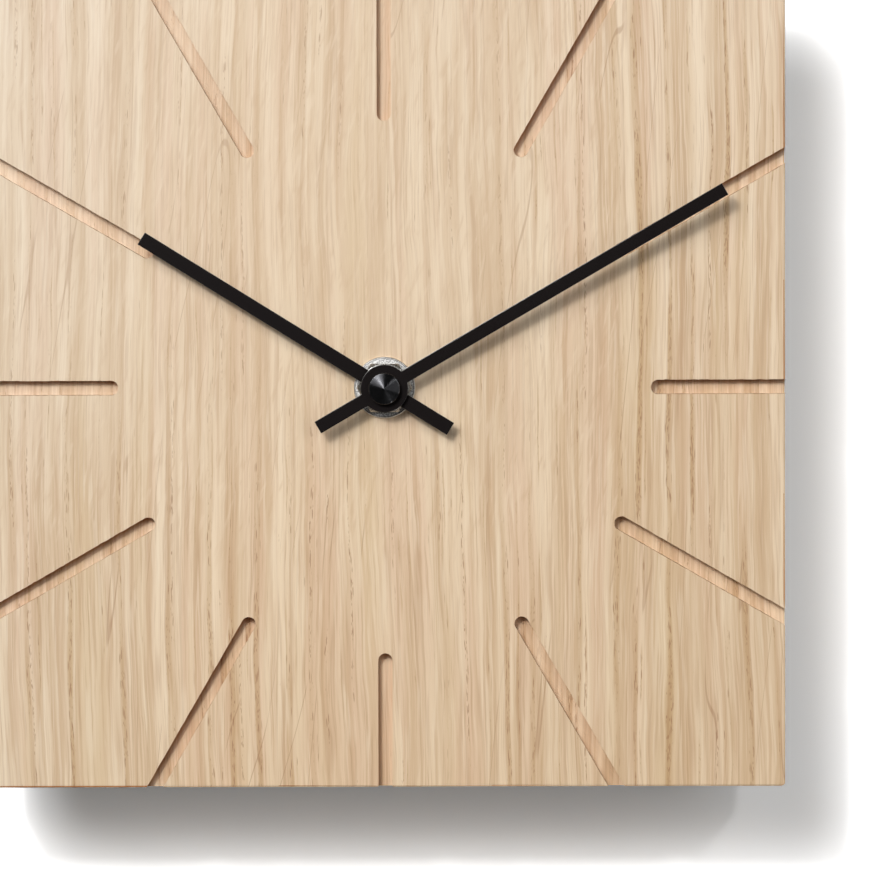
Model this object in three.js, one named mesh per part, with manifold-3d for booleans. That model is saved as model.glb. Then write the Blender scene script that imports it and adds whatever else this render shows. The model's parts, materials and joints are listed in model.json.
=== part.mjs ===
// A square solid-oak wall clock with a radio-controlled quartz movement, in millimetres.
// It is drawn in the dial's frame: x right, y up, z out of the wall towards the viewer, the hands' axis at
// x = y = 0 and the wall at z = 0. The last group stands it up, +Z up and the dial facing -Y, with the
// origin where the wall hook bears in the hanger's slot.
import * as THREE from "three";
import { mergeVertices } from "three/addons/utils/BufferGeometryUtils.js";
import Module from "manifold-3d";

const wasm = await Module();
wasm.setup();

// Clearances and overruns
const fit = { running: 0.2, seat: 0.15, face: 0.3, overrun: 1 };

// The oak block, its milled hour grooves and the recesses in its back
const oak = { side: 200, depth: 30, cornerRadius: 1, edgeEase: 0.5, frontWall: 8 };
const groove = { count: 12, width: 3.5, depth: 3.5, length: 33.5 };
const pocket = { clearance: 2.5, cutterRadius: 8 };

// The keyhole hanger let into the back
const hanger = { width: 46, height: 30, thickness: 1.5, corner: 3, hookBelowTop: 25, marginAbove: 5 };
const keyhole = { slotWidth: 5, slotLength: 11, holeDiameter: 10, headRoom: 9, headClearance: 2 };
const screw = { spacing: 34, shankDiameter: 3, length: 14, headDiameter: 6, headHeight: 1.5, slot: 0.8 };

// The stack on the dial: washer, nut, hands and cap
const dialWasher = { diameter: 15.4, thickness: 0.8, rim: 0.25 };
const nut = { sides: 6, acrossFlats: 12, thickness: 2.5 };
const bushing = { threadDiameter: 8, footDiameter: 10, flangeDiameter: 13, flange: 0.8, standsOut: 0.8 };
const rubber = { diameter: 18, thickness: 1 };
const hands = { gap: 0.4, sheet: 0.5, pipeStandsOut: 1.8 };
const hourHand = { length: 71, tail: 19.3, width: 3.5, hubDiameter: 11, colletDiameter: 7, angle: 301.8 };
const minuteHand = { length: 98, tail: 19.2, width: 3.3, hubDiameter: 11.9, angle: 59.7, tipLift: 3 };
const cap = { diameter: 7.8, height: 3.2, coneHeight: 0.95, bevel: 0.2 };

// The movement's case, measured from the hands' axis
const box = { top: 34, bottom: -40, depth: 19, wall: 1.6, corner: 4, innerCorner: 1, sideGap: 0.8 };
const bay = { height: 15.6, floorGap: 0.3, springRoom: 5.35 };
const lip = { thickness: 1.2, depth: 2, stripRoom: 2.4 };
const post = { radius: 1.7, pinRadius: 0.8, pinLength: 2 };
const bearing = { radius: 1.6, bossRadius: 1.3, height: 2.8, depth: 1.6 };
const cradle = { width: 3, height: 8 };

// Arbors and pipes
const minuteArbor = { radius: 1.5, threadRadius: 1.1, threadLength: 2.4 };
const hourPipe = { outerRadius: 2.5, wall: 0.7 };
const arbor = { radius: 0.5, pivotRadius: 0.35 };

// Gears: every tooth's depth and half widths are shares of the module and of half the pitch
const gears = {
  rotorPinion: { teeth: 8, module: 0.3 },
  firstWheel: { teeth: 48, module: 0.3 },
  firstPinion: { teeth: 8, module: 0.3 },
  secondWheel: { teeth: 48, module: 0.3 },
  secondPinion: { teeth: 10, module: 0.4 },
  centreWheel: { teeth: 50, module: 0.4 },
  cannonPinion: { teeth: 12, module: 0.5 },
  motionWheel: { teeth: 36, module: 0.5 },
  motionPinion: { teeth: 12, module: 0.4 },
  hourWheel: { teeth: 48, module: 0.4 },
};
const wheelTooth = { radiusShares: [-1.15, 0.8], halfWidthShares: [0.7, 0.2] };
const pinionTooth = { radiusShares: [-1.15, 0, 0.8], halfWidthShares: [0.5, 0.4, 0.2] };
const mostPinionTeeth = 12;
const wheel = { thickness: 1.2, faceMargin: 0.2, levelGap: 0.5 };
const sensing = { radius: 7.2, holeRadius: 0.9, minuteHoles: 6, hourHoles: 2 };
const motionStud = { shoulderRadius: 1.2, radius: 0.88 };

// Where the arbors stand: the direction from the last arbor of the train, anticlockwise from the right
const trainDirection = { second: 205, first: 160, rotor: 75, motion: 60 };

// The stepping motor
const magnet = { radius: 3, thickness: 2.5, collarRadius: 1.6, collar: 0.4 };
const statorSize = { thickness: 1.5, hole: 3.6, barWidth: 9, legWidth: 4.6 };
const statorReach = { left: 11, right: 12, top: 13 };
const core = { width: 4.5, thickness: 1.5 };
const bobbin = { wall: 0.6, flange: 0.8 };
const winding = { thickness: 1.5, cornerRadius: 1 };

// The plate that carries the gear train, between the motion work in front and the train behind
const middlePlate = { thickness: 1.4, right: 19.2, bottom: -12.2, top: 14, corner: 1.5 };
const platePostInset = 1.7;

// The circuit board and what it carries
const boardSize = { gap: 0.9, wallGap: 1.2, antennaGap: 0.65, corner: 1, thickness: 1.2, behindFace: 11.8 };
const boardPostInset = { left: 3.5, right: 2.1, bottom: 2.2, top: 2.4 };
const clockChip = { inset: 11.6, y: 3, radius: 4.5, height: 1.5, domeSteps: 4 };
const receiverChip = { inset: 7.1, y: -6.5, width: 5, height: 4, thickness: 1.4 };
const chipLead = { count: 4, width: 0.4, reach: 1 };
const crystal = { radius: 1, length: 6, inset: 14.6 };
const crystalHeight = { time: 14, receiver: 10.5 };
const sensor = { radius: 1.1, reach: 4.4, ledDirection: -20, receiverDirection: -46 };

// The push-buttons in the rear cover and the switches behind them
const button = { aboveBoardEnd: 8, standsOut: 0.6, clearance: 0.25 };
const buttonFlange = { thickness: 0.5, margin: 0.8, gap: 0.05 };
const buttons = [
  { name: "set", inset: 21.6, radius: 2.2 },
  { name: "receive", inset: 13.1, radius: 2.2 },
  { name: "reset", inset: 4.6, radius: 1.5 },
];
const tactSwitch = { side: 6, height: 3, plungerRadius: 1.1, plungerHeight: 0.2 };

// The receiving antenna
const ferrite = { radius: 4, length: 52, height: 26.5, depth: 9.5, cradleAt: 22.5 };
const antenna = { thickness: 1.3, length: 24, centre: 4 };

// The AA cell and its contacts
const cell = { diameter: 14.2, length: 50.5, nubDiameter: 5.3, nubHeight: 1.2, edge: 0.6 };
const contact = { thickness: 0.4, width: 10.4, height: 11, stripHeight: 1.4, stripDepth: 12 };
const spring = { wire: 0.7, wideRadius: 4.6, narrowRadius: 2.4, turns: 4, stepsPerTurn: 8, sides: 5 };

// Sides of round pieces, and steps to each arc of an outline
const smooth = { large: 40, medium: 20, small: 10 };
const arcSteps = { large: 20, medium: 10, corner: 4 };

// Materials
const paint = (colour, roughness, metalness = 0) =>
  new THREE.MeshStandardMaterial({ color: colour, roughness, metalness });
const materials = {
  oak: paint(0xe0c39a, 0.6),
  blackMetal: paint(0x17161a, 0.45, 0.3),
  steel: paint(0xb9bbbd, 0.35, 1),
  brass: paint(0xc9a45c, 0.35, 1),
  copper: paint(0xb06a38, 0.4, 0.9),
  ferrite: paint(0x2d2d30, 0.7),
  blackPlastic: paint(0x1d1e20, 0.5),
  whitePlastic: paint(0xe8e6df, 0.5),
  board: paint(0x2d6a43, 0.55),
  rubber: paint(0x222222, 0.9),
  cellSleeve: paint(0x3c6f8f, 0.4, 0.2),
};

// Places worked out from the dimensions above
const hookHeight = oak.side / 2 - hanger.hookBelowTop;
const plateBack = fit.seat;
const plateFront = plateBack + hanger.thickness;
const caseFront = oak.depth - oak.frontWall - rubber.thickness - bushing.flange;
const nutTop = oak.depth + dialWasher.thickness + nut.thickness;
const bushingTip = nutTop + bushing.standsOut;
const hourHandBack = bushingTip + hands.gap;
const pipeTip = hourHandBack + hands.pipeStandsOut - hands.gap;
const hourBladeBack = hourHandBack + hands.sheet;
const minuteHandBack = pipeTip + hands.gap;
const capBack = minuteHandBack + 2 * hands.sheet;

// Depths inside the case, as z from the case's front face
const plateInner = -box.wall;
const coverInner = box.wall - box.depth;
const hourTop = plateInner - fit.face;
const hourBottom = hourTop - wheel.thickness;
const motionTop = hourBottom - wheel.levelGap;
const motionBottom = motionTop - wheel.thickness;
const cannonTop = hourBottom - fit.face;
const centreTop = motionBottom - fit.face;
const centreBottom = centreTop - wheel.thickness;
const middleTop = centreBottom - fit.face;
const middleBottom = middleTop - middlePlate.thickness;
const secondTop = middleBottom - fit.face - wheel.faceMargin;
const secondBottom = secondTop - wheel.thickness;
const firstTop = secondBottom - wheel.levelGap;
const firstBottom = firstTop - wheel.thickness;
const rotorPinionBottom = firstBottom - wheel.faceMargin;
const magnetTop = rotorPinionBottom - magnet.collar;
const magnetBottom = magnetTop - magnet.thickness;
const statorTop = (magnetTop + magnetBottom + statorSize.thickness) / 2;
const statorBottom = statorTop - statorSize.thickness;
const coreMiddle = statorTop + core.thickness / 2;
const cupTop = coverInner + bearing.height;
const boardTop = -boardSize.behindFace;
const boardBottom = boardTop - boardSize.thickness;

// Arbor places in the dial's plane
const centreDistance = (a, b) => ((a.teeth + b.teeth) * a.module) / 2;
const degrees = (angle) => (angle * Math.PI) / 180;
const step = (from, distance, direction) => ({
  x: from.x + distance * Math.cos(degrees(direction)),
  y: from.y + distance * Math.sin(degrees(direction)),
});
const centreAt = { x: 0, y: 0 };
const secondAt = step(centreAt, centreDistance(gears.centreWheel, gears.secondPinion), trainDirection.second);
const firstAt = step(secondAt, centreDistance(gears.secondWheel, gears.firstPinion), trainDirection.first);
const rotorAt = step(firstAt, centreDistance(gears.firstWheel, gears.rotorPinion), trainDirection.rotor);
const motionAt = step(centreAt, centreDistance(gears.cannonPinion, gears.motionWheel), trainDirection.motion);
const tipRadius = (gear) => (gear.teeth / 2 + wheelTooth.radiusShares.at(-1)) * gear.module;

// The stator reaches both ways from the rotor
const stator = {
  ...statorSize,
  left: rotorAt.x - statorReach.left,
  right: rotorAt.x + statorReach.right,
  legTop: rotorAt.y + statorReach.top,
};

// Chamber and battery bay in the case's outline: as wide as the cell with its contacts, and as the motor, need
const cellRoom = cell.length + fit.seat + 2 * contact.thickness + bay.springRoom;
const innerHalf = Math.max(cellRoom / 2, box.sideGap - stator.left);
const inner = { right: innerHalf, top: box.top - box.wall, bottom: box.bottom + box.wall };
const boxHalf = innerHalf + box.wall;
const crossWallBottom = inner.bottom + bay.height;
const crossWallTop = crossWallBottom + box.wall;

// The plate beside the train and the board beside its last wheel
const plateLeft = box.sideGap - innerHalf;
const board = {
  ...boardSize,
  left: secondAt.x + tipRadius(gears.secondWheel) + boardSize.gap,
  right: innerHalf - box.sideGap,
  bottom: crossWallTop + boardSize.wallGap,
  top: ferrite.height - ferrite.radius - antenna.thickness - fit.seat - boardSize.antennaGap,
};
const buttonHeight = board.bottom + button.aboveBoardEnd;

// Solids: manifold-3d only joins and cuts
function solidOf(geometry) {
  const bare = new THREE.BufferGeometry();
  bare.setAttribute("position", geometry.getAttribute("position"));
  bare.setIndex(geometry.index);
  const merged = mergeVertices(bare);
  const vertProperties = merged.getAttribute("position").array;
  const triVerts = new Uint32Array(merged.index.array);
  return new wasm.Manifold(new wasm.Mesh({ numProp: 3, vertProperties, triVerts }));
}

function geometryOf(solid) {
  const { vertProperties, triVerts } = solid.getMesh();
  const geometry = new THREE.BufferGeometry();
  geometry.setAttribute("position", new THREE.BufferAttribute(vertProperties, 3));
  geometry.setIndex(new THREE.BufferAttribute(triVerts, 1));
  geometry.computeVertexNormals();
  return geometry;
}

function join(...geometries) {
  return geometryOf(geometries.map(solidOf).reduce((all, one) => all.add(one)));
}

function cut(geometry, ...tools) {
  return geometryOf(tools.map(solidOf).reduce((left, tool) => left.subtract(tool), solidOf(geometry)));
}

// A cylinder along z between two heights, or a cone with a radius of its own at the top
function rod(radius, bottom, top, at = centreAt, segments = smooth.medium, topRadius = radius) {
  const geometry = new THREE.CylinderGeometry(topRadius, radius, top - bottom, segments);
  geometry.rotateX(Math.PI / 2);
  return geometry.translate(at.x, at.y, (bottom + top) / 2);
}

// A cylinder along x between two ends
function bar(radius, left, right, y, z, segments = smooth.medium) {
  const geometry = new THREE.CylinderGeometry(radius, radius, right - left, segments);
  geometry.rotateZ(Math.PI / 2);
  return geometry.translate((left + right) / 2, y, z);
}

function block(left, right, bottom, top, back, front) {
  const geometry = new THREE.BoxGeometry(right - left, top - bottom, front - back);
  return geometry.translate((left + right) / 2, (bottom + top) / 2, (back + front) / 2);
}

// A shape of the dial's plane, made solid between two heights
function slab(shape, bottom, top, steps = arcSteps.corner) {
  const options = { depth: top - bottom, bevelEnabled: false, curveSegments: steps / 2 };
  return new THREE.ExtrudeGeometry(shape, options).translate(0, 0, bottom);
}

// A profile of [radius, z] points turned about z
function turned(profile, segments = smooth.medium) {
  const closed = [...profile, profile[0]];
  const points = closed.map(([radius, z]) => new THREE.Vector2(radius, z));
  return new THREE.LatheGeometry(points, segments).rotateX(Math.PI / 2);
}

function tube(outer, bore, bottom, top, segments = smooth.medium) {
  const profile = [[bore, bottom], [outer, bottom], [outer, top], [bore, top]];
  return turned(profile, segments);
}

function rectangle(left, right, bottom, top, radius) {
  const shape = new THREE.Shape();
  shape.moveTo(left + radius, bottom);
  shape.lineTo(right - radius, bottom);
  shape.absarc(right - radius, bottom + radius, radius, -Math.PI / 2, 0);
  shape.lineTo(right, top - radius);
  shape.absarc(right - radius, top - radius, radius, 0, Math.PI / 2);
  shape.lineTo(left + radius, top);
  shape.absarc(left + radius, top - radius, radius, Math.PI / 2, Math.PI);
  shape.lineTo(left, bottom + radius);
  shape.absarc(left + radius, bottom + radius, radius, Math.PI, 1.5 * Math.PI);
  return shape;
}

// Gears
function toothedShape(gear, phase) {
  const { radiusShares, halfWidthShares } = gear.teeth > mostPinionTeeth ? wheelTooth : pinionTooth;
  const halfPitch = Math.PI / gear.teeth;
  const points = [];
  for (let tooth = 0; tooth < gear.teeth; tooth += 1) {
    const middle = phase + 2 * halfPitch * tooth;
    const flank = radiusShares.map((share, i) => ({
      radius: (gear.teeth / 2 + share) * gear.module,
      halfAngle: halfWidthShares[i] * halfPitch,
    }));
    const point = (radius, angle) => new THREE.Vector2(radius * Math.cos(angle), radius * Math.sin(angle));
    for (const { radius, halfAngle } of flank) points.push(point(radius, middle - halfAngle));
    for (const { radius, halfAngle } of flank.reverse()) points.push(point(radius, middle + halfAngle));
  }
  return new THREE.Shape(points);
}

// The turn that puts a driven gear's gap where the driving gear, turned by drivingPhase, has a tooth
function meshPhase(from, to, driving, driven, drivingPhase = 0) {
  const line = Math.atan2(to.y - from.y, to.x - from.x);
  return line + Math.PI - (Math.PI - (line - drivingPhase) * driving.teeth) / driven.teeth;
}

function gearSolid(gear, bottom, top, at, phase = 0) {
  return slab(toothedShape(gear, phase), bottom, top).translate(at.x, at.y, 0);
}

// The scene graph
const clock = new THREE.Group();
const dial = new THREE.Group();
const movement = new THREE.Group();
clock.add(dial);
dial.add(movement);
movement.position.z = caseFront;

function piece(parent, name, geometry, material) {
  const mesh = new THREE.Mesh(geometry, material);
  mesh.name = name;
  parent.add(mesh);
  return mesh;
}

// The oak block
function hangerRoom() {
  const top = hookHeight + hanger.marginAbove;
  const half = hanger.width / 2;
  return {
    left: -half,
    right: half,
    top,
    bottom: top - hanger.height,
    middle: top - hanger.height / 2,
    slotCentre: hookHeight - keyhole.slotWidth / 2,
    holeCentre: hookHeight - keyhole.slotWidth / 2 - keyhole.slotLength,
  };
}

function oakBlock() {
  const half = oak.side / 2;
  const outline = rectangle(-half, half, -half, half, oak.cornerRadius);
  const eased = new THREE.ExtrudeGeometry(outline, {
    depth: oak.depth - 2 * oak.edgeEase,
    bevelThickness: oak.edgeEase,
    bevelSize: oak.edgeEase,
    bevelOffset: -oak.edgeEase,
    bevelSegments: 2,
    curveSegments: arcSteps.corner / 2,
  }).translate(0, 0, oak.edgeEase);
  const back = -fit.overrun;

  const tools = [];
  const reach = half * Math.SQRT2 + fit.overrun;
  const halfWidth = groove.width / 2;
  for (let hour = 0; hour < groove.count; hour += 1) {
    const shape = new THREE.Shape();
    const centre = half - groove.length + halfWidth;
    shape.absarc(0, centre, halfWidth, Math.PI, 2 * Math.PI);
    shape.lineTo(halfWidth, reach);
    shape.lineTo(-halfWidth, reach);
    const tool = slab(shape, oak.depth - groove.depth, oak.depth + fit.overrun, arcSteps.medium);
    tools.push(tool.rotateZ((-2 * Math.PI * hour) / groove.count));
  }

  const room = pocket.clearance;
  const side = boxHalf + room;
  const pocketShape = rectangle(-side, side, box.bottom - room, box.top + room, pocket.cutterRadius);
  tools.push(slab(pocketShape, back, oak.depth - oak.frontWall, arcSteps.medium));
  tools.push(rod(bushing.threadDiameter / 2 + fit.face, back, oak.depth + fit.overrun));

  const seat = hangerRoom();
  const around = fit.face;
  const plateSeat = rectangle(
    seat.left - around, seat.right + around, seat.bottom - around, seat.top + around, hanger.corner,
  );
  tools.push(slab(plateSeat, back, plateFront));
  const headRadius = keyhole.holeDiameter / 2 + keyhole.headClearance;
  const headShape = rectangle(
    -headRadius, headRadius, seat.holeCentre - headRadius, seat.slotCentre + headRadius, headRadius - around,
  );
  tools.push(slab(headShape, back, plateFront + keyhole.headRoom, arcSteps.medium));
  for (const x of [-screw.spacing / 2, screw.spacing / 2]) {
    const hole = { x, y: seat.middle };
    tools.push(rod(screw.shankDiameter / 2 + fit.seat, back, screw.length + fit.face, hole, smooth.small));
  }
  return cut(eased, ...tools);
}
piece(dial, "oak_body", oakBlock(), materials.oak);

// The hanger plate and its screws
function hangerPlate() {
  const seat = hangerRoom();
  const shape = rectangle(seat.left, seat.right, seat.bottom, seat.top, hanger.corner);
  const tools = [];
  const through = [plateBack - fit.overrun, plateFront + fit.overrun];
  const halfSlot = keyhole.slotWidth / 2;
  const headHole = screw.headDiameter / 2 + fit.seat;
  const shankHole = screw.shankDiameter / 2 + fit.seat;
  tools.push(rod(keyhole.holeDiameter / 2, ...through, { x: 0, y: seat.holeCentre }));
  tools.push(rod(halfSlot, ...through, { x: 0, y: seat.slotCentre }));
  tools.push(block(-halfSlot, halfSlot, seat.holeCentre, seat.slotCentre, ...through));
  for (const x of [-screw.spacing / 2, screw.spacing / 2]) {
    const at = { x, y: seat.middle };
    tools.push(rod(shankHole, ...through, at, smooth.small));
    tools.push(rod(headHole, plateBack, plateBack + screw.headHeight, at, smooth.small, shankHole));
  }
  return cut(slab(shape, plateBack, plateFront), ...tools);
}
piece(dial, "hanger_plate", hangerPlate(), materials.steel);

// A slotted wood screw, its head sunk flush with the back of the plate
function hangerScrew() {
  const head = screw.headDiameter / 2;
  const shank = screw.shankDiameter / 2;
  const body = turned([
    [0, plateBack],
    [head, plateBack],
    [shank, plateBack + screw.headHeight],
    [shank, screw.length - shank],
    [0, screw.length],
  ], smooth.small);
  const slotHalf = screw.slot / 2;
  const slotDepth = screw.headHeight / 2;
  const slot = block(-head, head, -slotHalf, slotHalf, plateBack - fit.overrun, plateBack + slotDepth);
  return cut(body, slot);
}
for (const [name, side] of [["hanger_screw_left", 1], ["hanger_screw_right", -1]]) {
  const mesh = piece(dial, name, hangerScrew(), materials.steel);
  mesh.position.set((side * screw.spacing) / 2, hangerRoom().middle, 0);
}

// What clamps the movement to the block
function threadedBushing() {
  const bore = hourPipe.outerRadius + fit.running;
  return turned([
    [bore, plateInner],
    [bushing.footDiameter / 2, plateInner],
    [bushing.footDiameter / 2, 0],
    [bushing.flangeDiameter / 2, 0],
    [bushing.flangeDiameter / 2, bushing.flange],
    [bushing.threadDiameter / 2, bushing.flange],
    [bushing.threadDiameter / 2, bushingTip - caseFront],
    [bore, bushingTip - caseFront],
  ]);
}
piece(movement, "threaded_bushing", threadedBushing(), materials.brass);

const threadHole = bushing.threadDiameter / 2 + fit.seat;
const rubberTop = bushing.flange + rubber.thickness;
piece(
  movement, "rubber_washer",
  tube(rubber.diameter / 2, threadHole, bushing.flange, rubberTop), materials.rubber,
);

function faceWasher() {
  const outer = dialWasher.diameter / 2;
  const top = oak.depth + dialWasher.thickness;
  return turned([
    [threadHole, oak.depth],
    [outer, oak.depth],
    [outer, top - dialWasher.rim],
    [outer - dialWasher.rim, top],
    [threadHole, top],
  ], smooth.large);
}
piece(dial, "dial_washer", faceWasher(), materials.steel);

function hexNut() {
  const bottom = oak.depth + dialWasher.thickness;
  const corner = nut.acrossFlats / 2 / Math.cos(Math.PI / nut.sides);
  const hexagon = rod(corner, bottom, nutTop, centreAt, nut.sides).rotateZ(Math.PI / nut.sides);
  const chamfer = (corner - nut.acrossFlats / 2) / 2;
  const easing = turned([
    [0, bottom - fit.overrun],
    [corner + fit.overrun, bottom - fit.overrun],
    [corner + fit.overrun, nutTop - chamfer - fit.overrun],
    [nut.acrossFlats / 2, nutTop],
    [0, nutTop],
  ]);
  const eased = geometryOf(solidOf(hexagon).intersect(solidOf(easing)));
  return cut(eased, rod(threadHole, bottom - fit.overrun, nutTop + fit.overrun));
}
piece(dial, "centre_nut", hexNut(), materials.steel);

// A hand drawn pointing to 12: a plain blade with a tail through a round hub
function handShape(hand, bore) {
  const half = hand.width / 2;
  const hub = hand.hubDiameter / 2;
  const meet = Math.asin(half / hub);
  const shape = new THREE.Shape();
  shape.moveTo(-half, -hand.tail);
  shape.lineTo(half, -hand.tail);
  shape.absarc(0, 0, hub, meet - Math.PI / 2, Math.PI / 2 - meet);
  shape.lineTo(half, hand.length);
  shape.lineTo(-half, hand.length);
  shape.absarc(0, 0, hub, Math.PI / 2 + meet, 1.5 * Math.PI - meet);
  const hole = new THREE.Path();
  hole.absarc(0, 0, bore, 0, 2 * Math.PI);
  shape.holes.push(hole);
  return shape;
}

// The blade beyond the hub leans away from the dial by lift at its tip
function leanBlade(geometry, hand, lift) {
  const hub = hand.hubDiameter / 2;
  const position = geometry.getAttribute("position");
  for (let i = 0; i < position.count; i += 1) {
    const along = (position.getY(i) - hub) / (hand.length - hub);
    if (along > 0) position.setZ(i, position.getZ(i) + lift * along);
  }
  return geometry;
}

function hourHandSolid() {
  const bore = hourPipe.outerRadius + fit.seat;
  const blade = slab(handShape(hourHand, bore), hourBladeBack, hourBladeBack + hands.sheet, arcSteps.large);
  const collet = tube(hourHand.colletDiameter / 2, bore, hourHandBack, pipeTip);
  return join(blade, collet);
}

function minuteHandSolid() {
  const bore = minuteArbor.threadRadius + fit.seat;
  const bladeBack = capBack - hands.sheet;
  const blade = slab(handShape(minuteHand, bore), bladeBack, capBack, arcSteps.large);
  const collet = tube(hourHand.colletDiameter / 2, bore, minuteHandBack, bladeBack + hands.sheet / 2);
  return join(leanBlade(blade, minuteHand, minuteHand.tipLift), collet);
}

const hourMesh = piece(dial, "hour_hand", hourHandSolid(), materials.blackMetal);
hourMesh.rotation.z = -degrees(hourHand.angle);
const minuteMesh = piece(dial, "minute_hand", minuteHandSolid(), materials.blackMetal);
minuteMesh.rotation.z = -degrees(minuteHand.angle);

// The cone-topped cap nut that holds the minute hand
function capNut() {
  const radius = cap.diameter / 2;
  const bore = minuteArbor.threadRadius + fit.seat;
  const boreTop = minuteHandBack + minuteArbor.threadLength + fit.seat;
  const top = capBack + cap.height;
  return turned([
    [bore, capBack],
    [radius, capBack],
    [radius, top - cap.coneHeight - cap.bevel],
    [radius - cap.bevel, top - cap.coneHeight],
    [0, top],
    [0, boreTop],
    [bore, boreTop],
  ], smooth.large);
}
piece(dial, "cap_nut", capNut(), materials.blackMetal);

// Case: posts and bosses, then the front shell that carries them
const pinned = (at, end) => [
  rod(post.radius, end, plateInner + fit.overrun / 2, at, smooth.small),
  rod(post.pinRadius, end - post.pinLength, end, at, smooth.small),
];
const corners = ({ left, right, bottom, top }) =>
  [left, right].flatMap((x) => [bottom, top].map((y) => ({ x, y })));
const platePosts = corners({
  left: plateLeft + platePostInset,
  right: middlePlate.right - platePostInset,
  bottom: middlePlate.bottom + platePostInset,
  top: middlePlate.top - platePostInset,
});
const boardPost = {
  left: board.left + boardPostInset.left,
  right: board.right - boardPostInset.right,
  bottom: board.bottom + boardPostInset.bottom,
  top: board.top - boardPostInset.top,
};
const boardPosts = corners(boardPost).filter(({ x, y }) => x === boardPost.right || y === boardPost.bottom);

function ferriteCradles(bottom, top) {
  const low = ferrite.height - cradle.height / 2;
  return [-ferrite.cradleAt, ferrite.cradleAt].map((x) =>
    block(x - cradle.width / 2, x + cradle.width / 2, low, low + cradle.height, bottom, top),
  );
}
const ferriteGroove = bar(
  ferrite.radius + fit.seat, -ferrite.length / 2 - fit.face, ferrite.length / 2 + fit.face,
  ferrite.height, -ferrite.depth,
);

function frontShell() {
  const half = boxHalf;
  const back = -box.depth;
  const outside = slab(rectangle(-half, half, box.bottom, box.top, box.corner), back, 0);
  const corner = box.innerCorner;
  const hollow = (bottom, top) =>
    slab(rectangle(-inner.right, inner.right, bottom, top, corner), back - fit.overrun, plateInner);
  const over = half + fit.overrun;
  const coverSeat = block(-over, over, crossWallBottom, box.top + fit.overrun, back - fit.overrun, coverInner);
  const bushingHole = rod(bushing.footDiameter / 2 + fit.seat, plateInner - fit.overrun, fit.overrun);
  const slotFront = -contact.stripDepth + fit.seat;
  const slotWidth = contact.thickness + fit.seat;
  const wallSlot = (left) => block(
    left, left + slotWidth, crossWallBottom - corner, crossWallTop + corner,
    back - fit.overrun, slotFront,
  );
  const shell = cut(
    outside,
    hollow(crossWallTop, inner.top),
    hollow(inner.bottom, crossWallBottom),
    coverSeat,
    bushingHole,
    wallSlot(inner.right - slotWidth),
    wallSlot(-inner.right),
  );
  const bossTop = centreTop + wheel.faceMargin + fit.face;
  const secondBoss = rod(bearing.bossRadius, bossTop, plateInner + fit.overrun / 2, secondAt, smooth.small);
  const carried = join(
    shell,
    ...platePosts.flatMap((at) => pinned(at, middleTop)),
    ...boardPosts.flatMap((at) => pinned(at, boardTop)),
    secondBoss,
    ...ferriteCradles(-ferrite.depth, plateInner + fit.overrun / 2),
  );
  const pivotHole = rod(
    arbor.pivotRadius + fit.running, bossTop - fit.overrun, bossTop + bearing.depth, secondAt, smooth.small,
  );
  return cut(carried, ferriteGroove, pivotHole);
}
piece(movement, "front_case", frontShell(), materials.blackPlastic);

// The rear cover, its locating lip, bearing cups and ferrite rests
function rearCover() {
  const half = boxHalf;
  const back = -box.depth;
  const bottom = crossWallBottom + fit.seat;
  const full = slab(rectangle(-half, half, box.bottom, box.top, box.corner), back, coverInner);
  const below = block(
    -half - fit.overrun, half + fit.overrun, box.bottom - fit.overrun, bottom,
    back - fit.overrun, coverInner + fit.overrun,
  );
  const ring = (inset, from, to) => slab(rectangle(
    -inner.right + inset, inner.right - inset, crossWallTop + inset, inner.top - inset, box.innerCorner,
  ), from, to);
  const lipFront = coverInner + lip.depth;
  const lipRing = cut(
    ring(fit.face, coverInner - fit.overrun / 2, lipFront),
    ring(fit.face + lip.thickness, coverInner - fit.overrun, lipFront + fit.overrun),
  );
  const cups = [rotorAt, firstAt, secondAt].map((at) =>
    rod(bearing.radius, coverInner - fit.overrun / 2, cupTop, at, smooth.small),
  );
  const rests = ferriteCradles(coverInner - fit.overrun / 2, -ferrite.depth - ferrite.radius / 2);
  const stripRooms = [-inner.right, inner.right - lip.stripRoom].map((left) => block(
    left, left + lip.stripRoom, crossWallTop, crossWallTop + lip.stripRoom, coverInner, lipFront + fit.overrun,
  ));
  const plate = join(cut(full, below), cut(lipRing, ...stripRooms), ...cups, ...rests);
  const pivotHoles = [rotorAt, firstAt, secondAt].map((at) =>
    rod(arbor.pivotRadius + fit.running, cupTop - bearing.depth, cupTop + fit.overrun, at, smooth.small),
  );
  const buttonHoles = buttons.map(({ inset, radius }) => {
    const at = { x: board.right - inset, y: buttonHeight };
    return rod(radius + button.clearance, back - fit.overrun, coverInner + fit.overrun, at, smooth.small);
  });
  return cut(plate, ferriteGroove, ...pivotHoles, ...buttonHoles);
}
piece(movement, "rear_cover", rearCover(), materials.blackPlastic);

// The middle plate, with the motion stud in front and the stator's posts behind
const statorPins = [stator.left, stator.right].map((x) => ({
  x: x - (Math.sign(x - rotorAt.x) * stator.legWidth) / 2,
  y: rotorAt.y,
}));

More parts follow.
